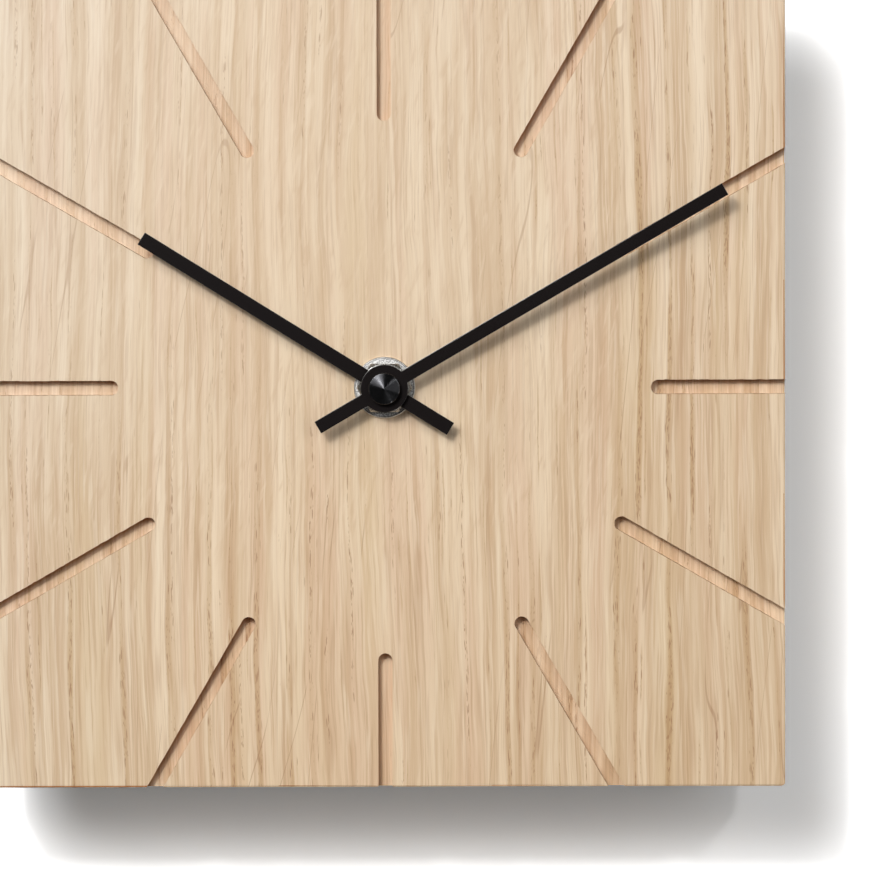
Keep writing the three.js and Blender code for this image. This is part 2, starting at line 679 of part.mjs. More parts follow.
function trainPlate() {
  const { right, bottom, top, corner } = middlePlate;
  const plate = slab(rectangle(plateLeft, right, bottom, top, corner), middleBottom, middleTop);
  const overlap = middlePlate.thickness / 2;
  const stud = join(
    rod(motionStud.shoulderRadius, middleTop - overlap, motionBottom - fit.face, motionAt, smooth.small),
    rod(motionStud.radius, middleTop - overlap, hourTop, motionAt, smooth.small),
  );
  const rests = statorPins.flatMap((at) => [
    rod(post.radius, statorTop, middleBottom + overlap, at, smooth.small),
    rod(post.pinRadius, statorBottom - fit.face, statorTop, at, smooth.small),
  ]);
  const through = [middleBottom - fit.overrun, middleTop + fit.overrun];
  const hole = (radius, at) => rod(radius, ...through, at, smooth.small);
  return cut(
    join(plate, stud, ...rests),
    rod(minuteArbor.radius + fit.running, ...through),
    rod(tipRadius(gears.secondPinion) + fit.face, ...through, secondAt),
    hole(arbor.pivotRadius + fit.running, firstAt),
    hole(arbor.pivotRadius + fit.running, rotorAt),
    ...platePosts.map((at) => hole(post.pinRadius + fit.running, at)),
    ...sensorPlaces().map((at) => hole(sensor.radius + fit.face, at)),
  );
}

function sensorPlaces() {
  return [sensor.ledDirection, sensor.receiverDirection].map((direction) =>
    step(centreAt, sensing.radius, direction),
  );
}
piece(movement, "middle_plate", trainPlate(), materials.whitePlastic);

// The hands' arbors and the wheels, from the hands back to the rotor
function steelArbor() {
  const shoulder = minuteHandBack - caseFront;
  const end = middleBottom - fit.face;
  return join(
    rod(minuteArbor.radius, end, shoulder),
    rod(minuteArbor.threadRadius, shoulder - fit.overrun, shoulder + minuteArbor.threadLength),
  );
}
piece(movement, "minute_arbor", steelArbor(), materials.steel);

function sensingHoles(count, bottom, top) {
  return Array.from({ length: count }, (_, i) =>
    rod(
      sensing.holeRadius, bottom - fit.overrun, top + fit.overrun,
      step(centreAt, sensing.radius, sensor.ledDirection + (360 * i) / count), smooth.small,
    ),
  );
}

function centreWheel() {
  const wheelAndPinion = join(
    gearSolid(gears.centreWheel, centreBottom, centreTop, centreAt),
    gearSolid(gears.cannonPinion, centreTop - wheel.thickness / 2, cannonTop, centreAt),
  );
  return cut(
    wheelAndPinion,
    rod(minuteArbor.radius + fit.seat, centreBottom - fit.overrun, cannonTop + fit.overrun),
    ...sensingHoles(sensing.minuteHoles, centreBottom, centreTop),
  );
}
piece(movement, "centre_wheel", centreWheel(), materials.whitePlastic);

function motionWheel() {
  const phase = meshPhase(centreAt, motionAt, gears.cannonPinion, gears.motionWheel);
  const both = join(
    gearSolid(gears.motionWheel, motionBottom, motionTop, motionAt, phase),
    gearSolid(gears.motionPinion, motionBottom + wheel.thickness / 2, hourTop, motionAt),
  );
  const bore = motionStud.radius + fit.running;
  return cut(both, rod(bore, motionBottom - fit.overrun, hourTop + fit.overrun, motionAt, smooth.small));
}
piece(movement, "motion_wheel", motionWheel(), materials.whitePlastic);

function hourWheel() {
  const phase = meshPhase(motionAt, centreAt, gears.motionPinion, gears.hourWheel);
  const pipe = rod(hourPipe.outerRadius, hourTop - wheel.thickness / 2, pipeTip - caseFront);
  const bore = hourPipe.outerRadius - hourPipe.wall;
  return cut(
    join(gearSolid(gears.hourWheel, hourBottom, hourTop, centreAt, phase), pipe),
    rod(bore, hourBottom - fit.overrun, pipeTip - caseFront + fit.overrun),
    ...sensingHoles(sensing.hourHoles, hourBottom, hourTop),
  );
}
piece(movement, "hour_wheel", hourWheel(), materials.whitePlastic);

// A wheel and pinion on one arbor that runs from a front bearing to a cup in the cover
function trainWheel({ at, wheelGear, wheelPlace, pinionGear, pinionPlace, pinionPhase, pivotTip }) {
  const [wheelBottom, wheelTop] = wheelPlace;
  const [pinionBottom, pinionTop] = pinionPlace;
  return join(
    gearSolid(wheelGear, wheelBottom, wheelTop, at),
    gearSolid(pinionGear, pinionBottom, pinionTop, at, pinionPhase),
    rod(arbor.radius, cupTop + fit.face, pinionBottom, at, smooth.small),
    rod(arbor.pivotRadius, cupTop - bearing.depth / 2, pivotTip, at, smooth.small),
  );
}
const secondWheel = trainWheel({
  at: secondAt,
  wheelGear: gears.secondWheel,
  wheelPlace: [secondBottom, secondTop],
  pinionGear: gears.secondPinion,
  pinionPlace: [secondTop - wheel.thickness / 2, centreTop + wheel.faceMargin],
  pinionPhase: meshPhase(centreAt, secondAt, gears.centreWheel, gears.secondPinion),
  pivotTip: centreTop + wheel.faceMargin + fit.face + bearing.depth / 2,
});
piece(movement, "second_wheel", secondWheel, materials.whitePlastic);

const firstWheel = trainWheel({
  at: firstAt,
  wheelGear: gears.firstWheel,
  wheelPlace: [firstBottom, firstTop],
  pinionGear: gears.firstPinion,
  pinionPlace: [firstTop - wheel.thickness / 2, secondTop + wheel.faceMargin],
  pinionPhase: meshPhase(secondAt, firstAt, gears.secondWheel, gears.firstPinion),
  pivotTip: middleBottom + middlePlate.thickness / 2,
});
piece(movement, "first_wheel", firstWheel, materials.whitePlastic);

function rotorPinion() {
  const phase = meshPhase(firstAt, rotorAt, gears.firstWheel, gears.rotorPinion);
  return join(
    gearSolid(gears.rotorPinion, rotorPinionBottom, firstTop + wheel.faceMargin, rotorAt, phase),
    rod(magnet.collarRadius, magnetTop, rotorPinionBottom + wheel.faceMargin / 2, rotorAt, smooth.small),
    rod(arbor.radius, magnetBottom - fit.face, middleBottom - fit.face, rotorAt, smooth.small),
    rod(
      arbor.pivotRadius, cupTop - bearing.depth / 2, middleBottom + middlePlate.thickness / 2,
      rotorAt, smooth.small,
    ),
  );
}
piece(movement, "rotor_pinion", rotorPinion(), materials.whitePlastic);
piece(
  movement, "rotor_magnet",
  tube(magnet.radius, arbor.radius + fit.seat, magnetBottom, magnetTop).translate(rotorAt.x, rotorAt.y, 0),
  materials.ferrite,
);

// The motor's iron and its coil
function statorPlate() {
  const half = stator.barWidth / 2;
  const barBottom = rotorAt.y - half;
  const barTop = rotorAt.y + half;
  const { left, right, legWidth, legTop } = stator;
  const shape = new THREE.Shape([
    new THREE.Vector2(left, barBottom),
    new THREE.Vector2(right, barBottom),
    new THREE.Vector2(right, legTop),
    new THREE.Vector2(right - legWidth, legTop),
    new THREE.Vector2(right - legWidth, barTop),
    new THREE.Vector2(left + legWidth, barTop),
    new THREE.Vector2(left + legWidth, legTop),
    new THREE.Vector2(left, legTop),
  ]);
  const circles = [
    { at: rotorAt, radius: stator.hole },
    ...statorPins.map((at) => ({ at, radius: post.pinRadius + fit.running })),
  ];
  for (const { at, radius } of circles) {
    const hole = new THREE.Path();
    hole.absarc(at.x, at.y, radius, 0, 2 * Math.PI);
    shape.holes.push(hole);
  }
  return slab(shape, statorBottom, statorTop, arcSteps.large);
}
piece(movement, "stator", statorPlate(), materials.steel);

const coreBox = {
  left: stator.left,
  right: stator.right,
  bottom: stator.legTop - core.width,
  top: stator.legTop,
  back: statorTop,
  front: statorTop + core.thickness,
};
piece(
  movement, "coil_core",
  block(coreBox.left, coreBox.right, coreBox.bottom, coreBox.top, coreBox.back, coreBox.front),
  materials.steel,
);

// A rectangular sleeve round the core, along x, from inset to outset beyond the core's faces
function sleeve(left, right, inset, outset, corner) {
  const y = (coreBox.bottom + coreBox.top) / 2;
  const halfWidth = core.width / 2;
  const halfThickness = core.thickness / 2;
  const outline = (grow, radius) =>
    rectangle(-halfWidth - grow, halfWidth + grow, -halfThickness - grow, halfThickness + grow, radius);
  const across = (shape, from, to) =>
    slab(shape, from, to)
      .rotateX(Math.PI / 2)
      .rotateZ(Math.PI / 2)
      .translate(0, y, coreMiddle);
  return cut(
    across(outline(outset, corner), left, right),
    across(outline(inset, fit.seat / 2), left - fit.overrun, right + fit.overrun),
  );
}
const bobbinLeft = stator.left + stator.legWidth + fit.face;
const bobbinRight = stator.right - stator.legWidth - fit.face;
const tubeOut = fit.seat + bobbin.wall;
const flangeOut = tubeOut + winding.thickness + fit.seat;
piece(
  movement, "coil_bobbin",
  join(
    sleeve(bobbinLeft, bobbinRight, fit.seat, tubeOut, fit.seat),
    sleeve(bobbinLeft, bobbinLeft + bobbin.flange, fit.seat, flangeOut, fit.seat),
    sleeve(bobbinRight - bobbin.flange, bobbinRight, fit.seat, flangeOut, fit.seat),
  ),
  materials.whitePlastic,
);
piece(
  movement, "motor_coil",
  sleeve(
    bobbinLeft + bobbin.flange + fit.seat, bobbinRight - bobbin.flange - fit.seat,
    tubeOut + fit.seat, tubeOut + winding.thickness, winding.cornerRadius,
  ),
  materials.copper,
);

// The circuit board and its components
function circuitBoard() {
  const { left, right, bottom, top, corner } = board;
  const through = [boardBottom - fit.overrun, boardTop + fit.overrun];
  return cut(
    slab(rectangle(left, right, bottom, top, corner), boardBottom, boardTop),
    ...boardPosts.map((at) => rod(post.pinRadius + fit.running, ...through, at, smooth.small)),
  );
}
piece(movement, "circuit_board", circuitBoard(), materials.board);

function chipBlob() {
  const { inset, y, radius, height, domeSteps } = clockChip;
  const rise = Array.from({ length: domeSteps }, (_, i) => (i * Math.PI) / 2 / domeSteps);
  const profile = rise.map((angle) => [radius * Math.cos(angle), boardTop + height * Math.sin(angle)]);
  return turned([[0, boardTop], ...profile, [0, boardTop + height]]).translate(board.right - inset, y, 0);
}
piece(movement, "clock_chip", chipBlob(), materials.blackPlastic);

function leadedChip() {
  const { inset, y, width, height, thickness } = receiverChip;
  const left = board.right - inset - width / 2;
  const lead = chipLead.width / 2;
  const reach = height / 2 + chipLead.reach;
  const body = block(
    left, left + width, y - height / 2, y + height / 2, boardTop + lead, boardTop + thickness,
  );
  const feet = Array.from({ length: chipLead.count }, (_, i) => {
    const middle = left + (width * (i + 1 / 2)) / chipLead.count;
    return block(middle - lead, middle + lead, y - reach, y + reach, boardTop, boardTop + 2 * lead);
  });
  return join(body, ...feet);
}
piece(movement, "receiver_chip", leadedChip(), materials.blackPlastic);

for (const [name, y] of Object.entries(crystalHeight)) {
  const { radius, length, inset } = crystal;
  const left = board.right - inset - length / 2;
  const can = bar(radius, left, left + length, y, boardTop + radius, smooth.small);
  piece(movement, `${name}_crystal`, can, materials.steel);
}

function domed(radius, reach) {
  return turned([
    [0, boardTop],
    [radius, boardTop],
    [radius, boardTop + reach - radius],
    [radius * Math.SQRT1_2, boardTop + reach - radius * (1 - Math.SQRT1_2)],
    [0, boardTop + reach],
  ], smooth.small);
}
for (const [i, name] of ["position_led", "position_sensor"].entries()) {
  const at = sensorPlaces()[i];
  piece(movement, name, domed(sensor.radius, sensor.reach).translate(at.x, at.y, 0), materials.blackPlastic);
}

// Push-buttons, each with the switch that it works
for (const { name, inset, radius } of buttons) {
  const at = { x: board.right - inset, y: buttonHeight };
  const half = tactSwitch.side / 2;
  const switchBack = boardBottom - tactSwitch.height;
  const body = block(at.x - half, at.x + half, at.y - half, at.y + half, switchBack, boardBottom);
  const plungerEnd = switchBack - tactSwitch.plungerHeight;
  const plunger = rod(tactSwitch.plungerRadius, plungerEnd, boardBottom - fit.overrun, at, smooth.small);
  piece(movement, `${name}_switch`, join(body, plunger), materials.blackPlastic);

  const flangeBack = coverInner + buttonFlange.gap;
  const flangeFront = flangeBack + buttonFlange.thickness;
  const stem = rod(radius, -box.depth - button.standsOut, flangeFront, at, smooth.small);
  const flange = rod(radius + buttonFlange.margin, flangeBack, flangeFront, at, smooth.small);
  piece(movement, `${name}_button`, join(stem, flange), materials.whitePlastic);
}

// The ferrite antenna
piece(
  movement, "ferrite_rod",
  bar(ferrite.radius, -ferrite.length / 2, ferrite.length / 2, ferrite.height, -ferrite.depth),
  materials.ferrite,
);
function antennaCoil() {
  const outer = ferrite.radius + fit.seat + antenna.thickness;
  const half = antenna.length / 2;
  const ends = [antenna.centre - half, antenna.centre + half];
  const bore = [ends[0] - fit.overrun, ends[1] + fit.overrun];
  return cut(
    bar(outer, ...ends, ferrite.height, -ferrite.depth),
    bar(ferrite.radius + fit.seat, ...bore, ferrite.height, -ferrite.depth),
  );
}
piece(movement, "antenna_coil", antennaCoil(), materials.copper);

// The AA cell, lying across the bay with its nub to the right
const cellMiddle = {
  y: (inner.bottom + crossWallBottom) / 2,
  z: plateInner - bay.floorGap - cell.diameter / 2,
};
const cellRight = inner.right - contact.thickness - fit.seat;
const cellLeft = cellRight - cell.length;
function cellSolid() {
  const radius = cell.diameter / 2;
  const shoulder = cell.length - cell.nubHeight;
  const upright = turned([
    [0, 0],
    [radius - cell.edge, 0],
    [radius, cell.edge],
    [radius, shoulder - cell.edge],
    [radius - cell.edge, shoulder],
    [cell.nubDiameter / 2, shoulder],
    [cell.nubDiameter / 2, cell.length],
    [0, cell.length],
  ]);
  return upright.rotateY(Math.PI / 2).translate(cellLeft, cellMiddle.y, cellMiddle.z);
}
piece(movement, "battery_cell", cellSolid(), materials.cellSleeve);

// Contacts: a plate at each end of the bay, with a strip through the wall to the board
const stripPlace = [-contact.stripDepth - contact.stripHeight, -contact.stripDepth];
const contactPlace = [cellMiddle.z - contact.height / 2, cellMiddle.z + contact.height / 2];
function contactPlate(left) {
  const half = contact.width / 2;
  return block(left, left + contact.thickness, cellMiddle.y - half, cellMiddle.y + half, ...contactPlace);
}
function positiveContact() {
  const left = inner.right - contact.thickness;
  const tabTop = board.bottom + fit.overrun;
  return join(
    contactPlate(left),
    block(left, inner.right, cellMiddle.y, tabTop, ...stripPlace),
  );
}
piece(movement, "positive_contact", positiveContact(), materials.steel);

function negativeContact() {
  const left = -inner.right;
  const stripBottom = crossWallTop + fit.face;
  return join(
    contactPlate(left),
    block(left, left + contact.thickness, cellMiddle.y, stripBottom + contact.thickness, ...stripPlace),
    block(left, board.left - fit.seat, stripBottom, stripBottom + contact.thickness, ...stripPlace),
  );
}
piece(movement, "negative_contact", negativeContact(), materials.steel);

// The conical battery spring: one wire wound from the contact to the cell
class ConicalCoil extends THREE.Curve {
  constructor(start, length) {
    super();
    this.start = start;
    this.length = length;
  }
  getPoint(t, target = new THREE.Vector3()) {
    const angle = 2 * Math.PI * spring.turns * t;
    const radius = spring.wideRadius + (spring.narrowRadius - spring.wideRadius) * t;
    const y = cellMiddle.y + radius * Math.cos(angle);
    const z = cellMiddle.z + radius * Math.sin(angle);
    return target.set(this.start + this.length * t, y, z);
  }
}

function springWire() {
  const clear = spring.wire / 2 + fit.seat;
  const start = contact.thickness - inner.right + clear;
  const coil = new ConicalCoil(start, cellLeft - clear - start);
  const steps = spring.turns * spring.stepsPerTurn;
  const section = new THREE.Shape();
  section.absarc(0, 0, spring.wire / 2, 0, 2 * Math.PI);
  const geometry = new THREE.ExtrudeGeometry(section, {
    steps, extrudePath: coil, bevelEnabled: false, curveSegments: spring.sides / 2,
  });

  const points = coil.getSpacedPoints(steps);
  const oneTurn = spring.stepsPerTurn / 2;
  let least = Infinity;
  for (let i = 0; i < points.length; i += 1) {
    for (let j = i + oneTurn; j < points.length; j += 1) {
      least = Math.min(least, points[i].distanceTo(points[j]) - spring.wire);
    }
  }
  console.log(`battery_spring: least gap to itself ${least.toFixed(2)} mm`);
  return geometry;
}
piece(movement, "battery_spring", springWire(), materials.steel);

// Upright on the wall, with the origin where the hook bears
dial.rotation.x = Math.PI / 2;
dial.position.z = -hookHeight;

export default clock;
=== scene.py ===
import json
import math

import bmesh
import bpy
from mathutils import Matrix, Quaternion, Vector, noise


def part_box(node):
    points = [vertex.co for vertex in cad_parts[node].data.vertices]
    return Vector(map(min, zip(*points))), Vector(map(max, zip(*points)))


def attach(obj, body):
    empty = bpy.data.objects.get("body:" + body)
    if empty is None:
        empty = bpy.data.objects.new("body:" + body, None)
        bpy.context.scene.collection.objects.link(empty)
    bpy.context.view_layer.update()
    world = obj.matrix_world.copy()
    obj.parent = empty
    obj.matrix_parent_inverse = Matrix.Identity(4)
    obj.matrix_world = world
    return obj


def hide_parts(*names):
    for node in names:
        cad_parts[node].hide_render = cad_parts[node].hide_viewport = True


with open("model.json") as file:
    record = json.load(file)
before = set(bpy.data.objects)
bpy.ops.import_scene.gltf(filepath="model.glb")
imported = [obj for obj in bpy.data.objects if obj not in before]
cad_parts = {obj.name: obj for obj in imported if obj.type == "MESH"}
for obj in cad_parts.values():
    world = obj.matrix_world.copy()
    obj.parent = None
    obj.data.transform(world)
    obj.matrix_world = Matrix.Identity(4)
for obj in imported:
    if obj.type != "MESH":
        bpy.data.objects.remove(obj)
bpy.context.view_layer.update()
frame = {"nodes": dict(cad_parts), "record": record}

MM = 0.001

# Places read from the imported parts
oak_low, oak_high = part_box("oak_body")
washer_low, washer_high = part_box("dial_washer")
cap_low, cap_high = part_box("cap_nut")
cell_low, cell_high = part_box("battery_cell")
FACE_Y = oak_low.y
HALF_SIDE = (oak_high.x - oak_low.x) / 2
CENTRE = Vector((0, FACE_Y, (oak_low.z + oak_high.z) / 2))
OUT = Vector((0, -1, 0))
WASHER_RADIUS = (washer_high.x - washer_low.x) / 2
CAP_RADIUS = (cap_high.x - cap_low.x) / 2
CELL_RADIUS = (cell_high.z - cell_low.z) / 2

# Camera: a long lens a little above the dial's axis
PHOTO_WIDTH = 219.6 * MM
PHOTO_OFFSET = Vector((13.8 * MM, 0, -13.15 * MM))
ELEVATION = math.radians(2.6)
ROLL = math.radians(-0.14)
LENS = 300
SENSOR = 36

# Light: directions from the dial, as x and z for each unit towards the viewer
KEY_SLOPE = (-0.27, 0.385)
WIDE_SLOPE = (-0.385, 0.475)
SIDE_SLOPE = (0.65, 0.08)
GLINT_SLOPE = (0.43, 0.34)
LOW_SLOPE = (0.69, -1.28)
LAMP_DISTANCE = 1.3
ROUND_LAMP = 1.15  # a round lamp this much wider than a square one blurs a shadow as much
ROOM_LIGHT = 0.05
MIRRORED_ROOM = 0.5  # how white the room is in a reflection

# The wall: how far behind the block it stands, and its colour, which is over 1 so that the wall is white in
# the light that suits the wood. The wall is hidden from bounced light, so it lights nothing.
WALL_GAP = 29 * MM
WALL_WHITE = 2.38
WALL_REACH = 2.2

# Grooves: their cut, and the fine mesh that their torn walls and floor are made of
EDGE_EASE = 0.5 * MM  # the block's own rounding
GROOVE = {"count": 12, "width": 3.5 * MM, "depth": 3.5 * MM, "length": 33.5 * MM}
TORN_STEP = 0.42 * MM
TORN_LEVELS = (-0.35 * MM, 0.0, 0.35 * MM, 0.9 * MM, 1.6 * MM, GROOVE["depth"])
ARC_STEPS = 14
FLOOR_LANES = 9
CUT_CLEARANCE = 0.012 * MM

# Meshes: corners closer than this are one, and edges flatter than these angles stay soft
WELD = 0.002 * MM
FLAT_ANGLE = 0.8
MOULDED_ANGLE = 32
TURNED_ANGLE = 25
LARGE_FACE = 20 * MM * MM


def rgb(red, green, blue):
    return (red, green, blue, 1.0)


# ---------------------------------------------------------------- node trees
class Nodes:
    """Short calls for one node tree."""

    def __init__(self, tree):
        self.tree = tree

    def put(self, socket, value):
        if isinstance(value, bpy.types.NodeSocket):
            self.tree.links.new(value, socket)
        elif value is not None:
            socket.default_value = value

    def node(self, kind, values=(), **settings):
        made = self.tree.nodes.new(kind)
        for key, value in settings.items():
            setattr(made, key, value)
        for place, value in enumerate(values):
            self.put(made.inputs[place], value)
        return made

    def math(self, operation, *values):
        return self.node("ShaderNodeMath", values, operation=operation).outputs[0]

    def times(self, a, b):
        return self.math("MULTIPLY", a, b)

    def plus(self, a, b):
        return self.math("ADD", a, b)

    def minus(self, a, b):
        return self.math("SUBTRACT", a, b)

    def times_plus(self, a, b, c):
        return self.math("MULTIPLY_ADD", a, b, c)

    def larger(self, a, b):
        return self.math("MAXIMUM", a, b)

    def remap(self, value, low, high, to_low=0.0, to_high=1.0, smooth=True):
        kind = "SMOOTHSTEP" if smooth else "LINEAR"
        made = self.node("ShaderNodeMapRange", (value, low, high, to_low, to_high), interpolation_type=kind)
        return made.outputs[0]


class Surface(Nodes):
    """One material. Its lengths are millimetres of the part's own frame."""

    def __init__(self, name):
        self.material = bpy.data.materials.new(name)
        self.material.use_nodes = True
        super().__init__(self.material.node_tree)
        self.shader = self.tree.nodes["Principled BSDF"]

    def place(self):
        """The point on the part as x, y and z."""
        point = self.node("ShaderNodeTexCoord").outputs["Object"]
        scaled = self.node("ShaderNodeVectorMath", (point, (1 / MM,) * 3), operation="MULTIPLY")
        return self.node("ShaderNodeSeparateXYZ", (scaled.outputs[0],)).outputs[:3]

    def point(self, x, y, z):
        return self.node("ShaderNodeCombineXYZ", (x, y, z)).outputs[0]

    def stretched(self, place, scales):
        return self.point(*(self.times(axis, scale) for axis, scale in zip(place, scales)))

    def from_axis(self, x, z):
        """The height over the hands' axis, and the distance from it."""
        up = self.minus(z, CENTRE.z / MM)
        return up, self.math("SQRT", self.plus(self.times(x, x), self.times(up, up)))

    def near(self, value, target, outer, inner):
        """1 where the value is within inner of the target, and 0 beyond outer."""
        return self.remap(self.math("ABSOLUTE", self.minus(value, target)), outer, inner)

    def noise(self, point, scale=1.0, detail=2.0, roughness=0.5):
        made = self.node("ShaderNodeTexNoise")
        for name, value in (("Vector", point), ("Scale", scale), ("Detail", detail), ("Roughness", roughness)):
            self.put(made.inputs[name], value)
        return made.outputs["Fac"]

    def voronoi(self, socket, value, scale=1.0, randomness=1.0, **settings):
        """Cells over a point (socket Vector) or a number (socket W)."""
        made = self.node("ShaderNodeTexVoronoi", **settings)
        for name, given in ((socket, value), ("Scale", scale), ("Randomness", randomness)):
            self.put(made.inputs[name], given)
        return made.outputs

    def channel(self, colour, index):
        return self.node("ShaderNodeSeparateColor", (colour,)).outputs[index]

    def mix(self, share, a, b, blend="MIX"):
        made = self.node("ShaderNodeMix", data_type="RGBA", blend_type=blend)
        for socket, value in ((0, share), (6, a), (7, b)):
            self.put(made.inputs[socket], value)
        return made.outputs[2]

    def bump(self, height, strength, distance):
        made = self.node("ShaderNodeBump")
        for name, value in (("Strength", strength), ("Distance", distance), ("Height", height)):
            self.put(made.inputs[name], value)
        return made.outputs[0]

    def finish(self, **sockets):
        for name, value in sockets.items():
            self.put(self.shader.inputs[name.replace("_", " ").title().replace("Ior", "IOR")], value)
        return self.material


# ---------------------------------------------------------------- oak
TONE = {
    "cream": rgb(0.815, 0.663, 0.489), "tan": rgb(0.635, 0.464, 0.301),
    "rosy": rgb(0.718, 0.514, 0.367), "olive": rgb(0.680, 0.514, 0.319),
    "stripe_brown": rgb(0.553, 0.363, 0.217), "stripe_pale": rgb(0.832, 0.684, 0.509),
    "strand_brown": rgb(0.501, 0.317, 0.181), "strand_pale": rgb(0.850, 0.711, 0.540),
    "fibre_brown": rgb(0.454, 0.285, 0.164),
    "thread_brown": rgb(0.470, 0.300, 0.180), "thread_pale": rgb(0.870, 0.745, 0.580),
    "fleck_brown": rgb(0.567, 0.381, 0.232), "fleck_pale": rgb(0.841, 0.693, 0.522),
    "earlywood": rgb(0.472, 0.289, 0.133), "hairline": rgb(0.359, 0.188, 0.097),
    "pore": rgb(0.270, 0.110, 0.045), "plain": rgb(0.725, 0.580, 0.420),
}
# What the wood's colour is multiplied by in places
TINT = {
    "pale_edge": rgb(0.995, 1.030, 1.085), "foot": rgb(1.000, 0.955, 0.880),
    "end_grain": rgb(0.860, 0.810, 0.740), "torn_step": rgb(0.880, 0.850, 0.820),
    "groove_shade": rgb(0.660, 0.410, 0.250), "freshly_cut": rgb(1.000, 0.970, 0.955),
    # The cut walls' tint is the cut wood's darker tone together with painted shade in the grooves
    "cut_walls_and_shade": rgb(0.860, 0.790, 0.730),
}
FACE_MM = FACE_Y / MM
THROUGH = 0.05  # how fast a figure changes through the block's thickness
AT_FACE = 0.3  # which part of a figure the face shows


class Oak(Surface):
    """Straight-grained oak with its fibres along z. Each lay call puts one more layer over the colour."""

    def __init__(self, name):
        super().__init__(name)
        self.position = self.place()
        self.x, self.y, self.z = self.position
        slow = self.noise(self.stretched(self.position, (0.011, 0.011, 0.0045)), detail=1)
        local = self.noise(self.stretched(self.position, (0.05, 0.05, 0.013)))
        tiny = self.noise(self.stretched(self.position, (0.45, 0.45, 0.09)))
        bend = self.times_plus(slow, 14.0, self.times(local, 4.5))
        bend = self.times_plus(tiny, 0.75, bend)
        self.across = self.plus(self.times_plus(self.y, 0.62, self.x), bend)

    def lay(self, share, tone):
        self.colour = self.mix(share, self.colour, TONE[tone])

    def stain(self, share, tint):
        self.colour = self.mix(share, self.colour, TINT[tint], blend="MULTIPLY")

    def along(self, width, length, detail=2.0, roughness=0.5, shift=0.0, line=None):
        """A streaky figure of that width across the grain and that length along it."""
        through, at_face = THROUGH / width, AT_FACE / width
        place = self.point(
            self.times_plus(self.across if line is None else line, 1 / width, shift),
            self.times_plus(self.y, through, FACE_MM * (at_face - through)),
            self.times(self.z, 1 / length),
        )
        return self.noise(place, detail=detail, roughness=roughness)

    def threads(self, width, length, shift):
        """Thin long lines, a fraction of a millimetre wide, that come and go."""
        ridge = self.near(self.along(width, length, detail=1, shift=shift), 0.5, 0.070, 0.015)
        here = self.remap(self.along(width * 2.2, length * 0.4, detail=1, shift=shift + 5.0), 0.44, 0.60)
        return self.times(ridge, here)

    def growth_lines(self, spacing, width, shift, rarest, commonest):
        """Narrow lines at uneven distances, each as strong as its own chance between those two."""
        cell = self.voronoi("W", self.times_plus(self.across, 1 / spacing, shift), voronoi_dimensions="1D")
        close = self.remap(cell["Distance"], width / spacing, width * 0.25 / spacing)
        return self.times(close, self.remap(self.channel(cell["Color"], 0), rarest, commonest))

    def pores(self, home, width, length, share, shift):
        """Short slits, kept for a share of the places and for more where home is high."""
        place = self.point(
            self.times_plus(self.across, 1 / width, shift),
            self.times(self.y, 1 / width),
            self.times_plus(self.z, 1 / length, shift),
        )
        cell = self.voronoi("Vector", place)
        kept = self.times_plus(home, 0.40, self.channel(cell["Color"], 1))
        kept = self.remap(kept, 1.0 - share, 1.12 - share)
        return self.times(self.remap(cell["Distance"], 0.50, 0.20), kept)

    def lay_bands(self):
        """Growth bands, and the stripes, strands, fibres and threads in them."""
        self.bands = self.along(4.6, 170, shift=7.3)
        stripes = self.along(1.55, 95, roughness=0.6, shift=3.1)
        strands = self.along(0.66, 34, detail=3, roughness=0.65, shift=17.0)
        self.fibres = self.along(0.32, 14, roughness=0.65, shift=11.0)
        self.colour = self.mix(self.remap(self.bands, 0.34, 0.68), TONE["cream"], TONE["tan"])
        # The figure, where a tone starts and is full in it, the tone's greatest share, and the tone
        for figure, start, full, share, tone in (
            (self.along(7.5, 150, shift=21.0), 0.46, 0.68, 0.55, "rosy"),
            (self.along(9.5, 210, shift=33.0), 0.52, 0.70, 0.50, "olive"),
            (stripes, 0.50, 0.74, 0.50, "stripe_brown"),
            (stripes, 0.46, 0.26, 0.45, "stripe_pale"),
            (strands, 0.52, 0.78, 0.60, "strand_brown"),
            (strands, 0.45, 0.22, 0.48, "strand_pale"),
            (self.fibres, 0.53, 0.80, 0.44, "fibre_brown"),
        ):
            self.lay(self.remap(figure, start, full, 0.0, share), tone)
        self.lay(self.times(self.threads(1.45, 85, 83.0), 0.34), "thread_brown")
        self.lay(self.times(self.threads(1.10, 60, 97.0), 0.34), "thread_pale")

    def lay_flecks(self, strength):
        """Ray flecks: short silky patches that lean over the calm part of the board."""
        lean = self.times_plus(self.z, -0.21, self.across)
        fleck = self.along(1.25, 7.5, roughness=0.55, shift=51.0, line=lean)
        calm = self.minus(1.0, self.remap(strength, 0.4, 0.8))
        self.lay(self.times(self.remap(fleck, 0.55, 0.76, 0.0, 0.38), calm), "fleck_brown")
        self.lay(self.times(self.remap(fleck, 0.45, 0.25, 0.0, 0.36), calm), "fleck_pale")

    def lay_earlywood(self, strength):
        """Brown earlywood lines: strong ones where the figure is strong, and weak ones all over."""
        wavering = self.remap(self.along(2.6, 42, detail=3, shift=40.0), 0.36, 0.60, 0.15, 1.0)
        strong = self.times(self.times(self.growth_lines(7.2, 1.05, 0.0, 0.10, 0.5), wavering), strength)
        broken = self.remap(self.along(1.6, 18, shift=60.0), 0.44, 0.60)
        weak = self.times(self.growth_lines(2.7, 0.30, 5.0, 0.30, 0.9), broken)
        self.lines = self.larger(strong, self.times(weak, 0.62))
        self.lay(self.times(self.lines, 0.66), "earlywood")

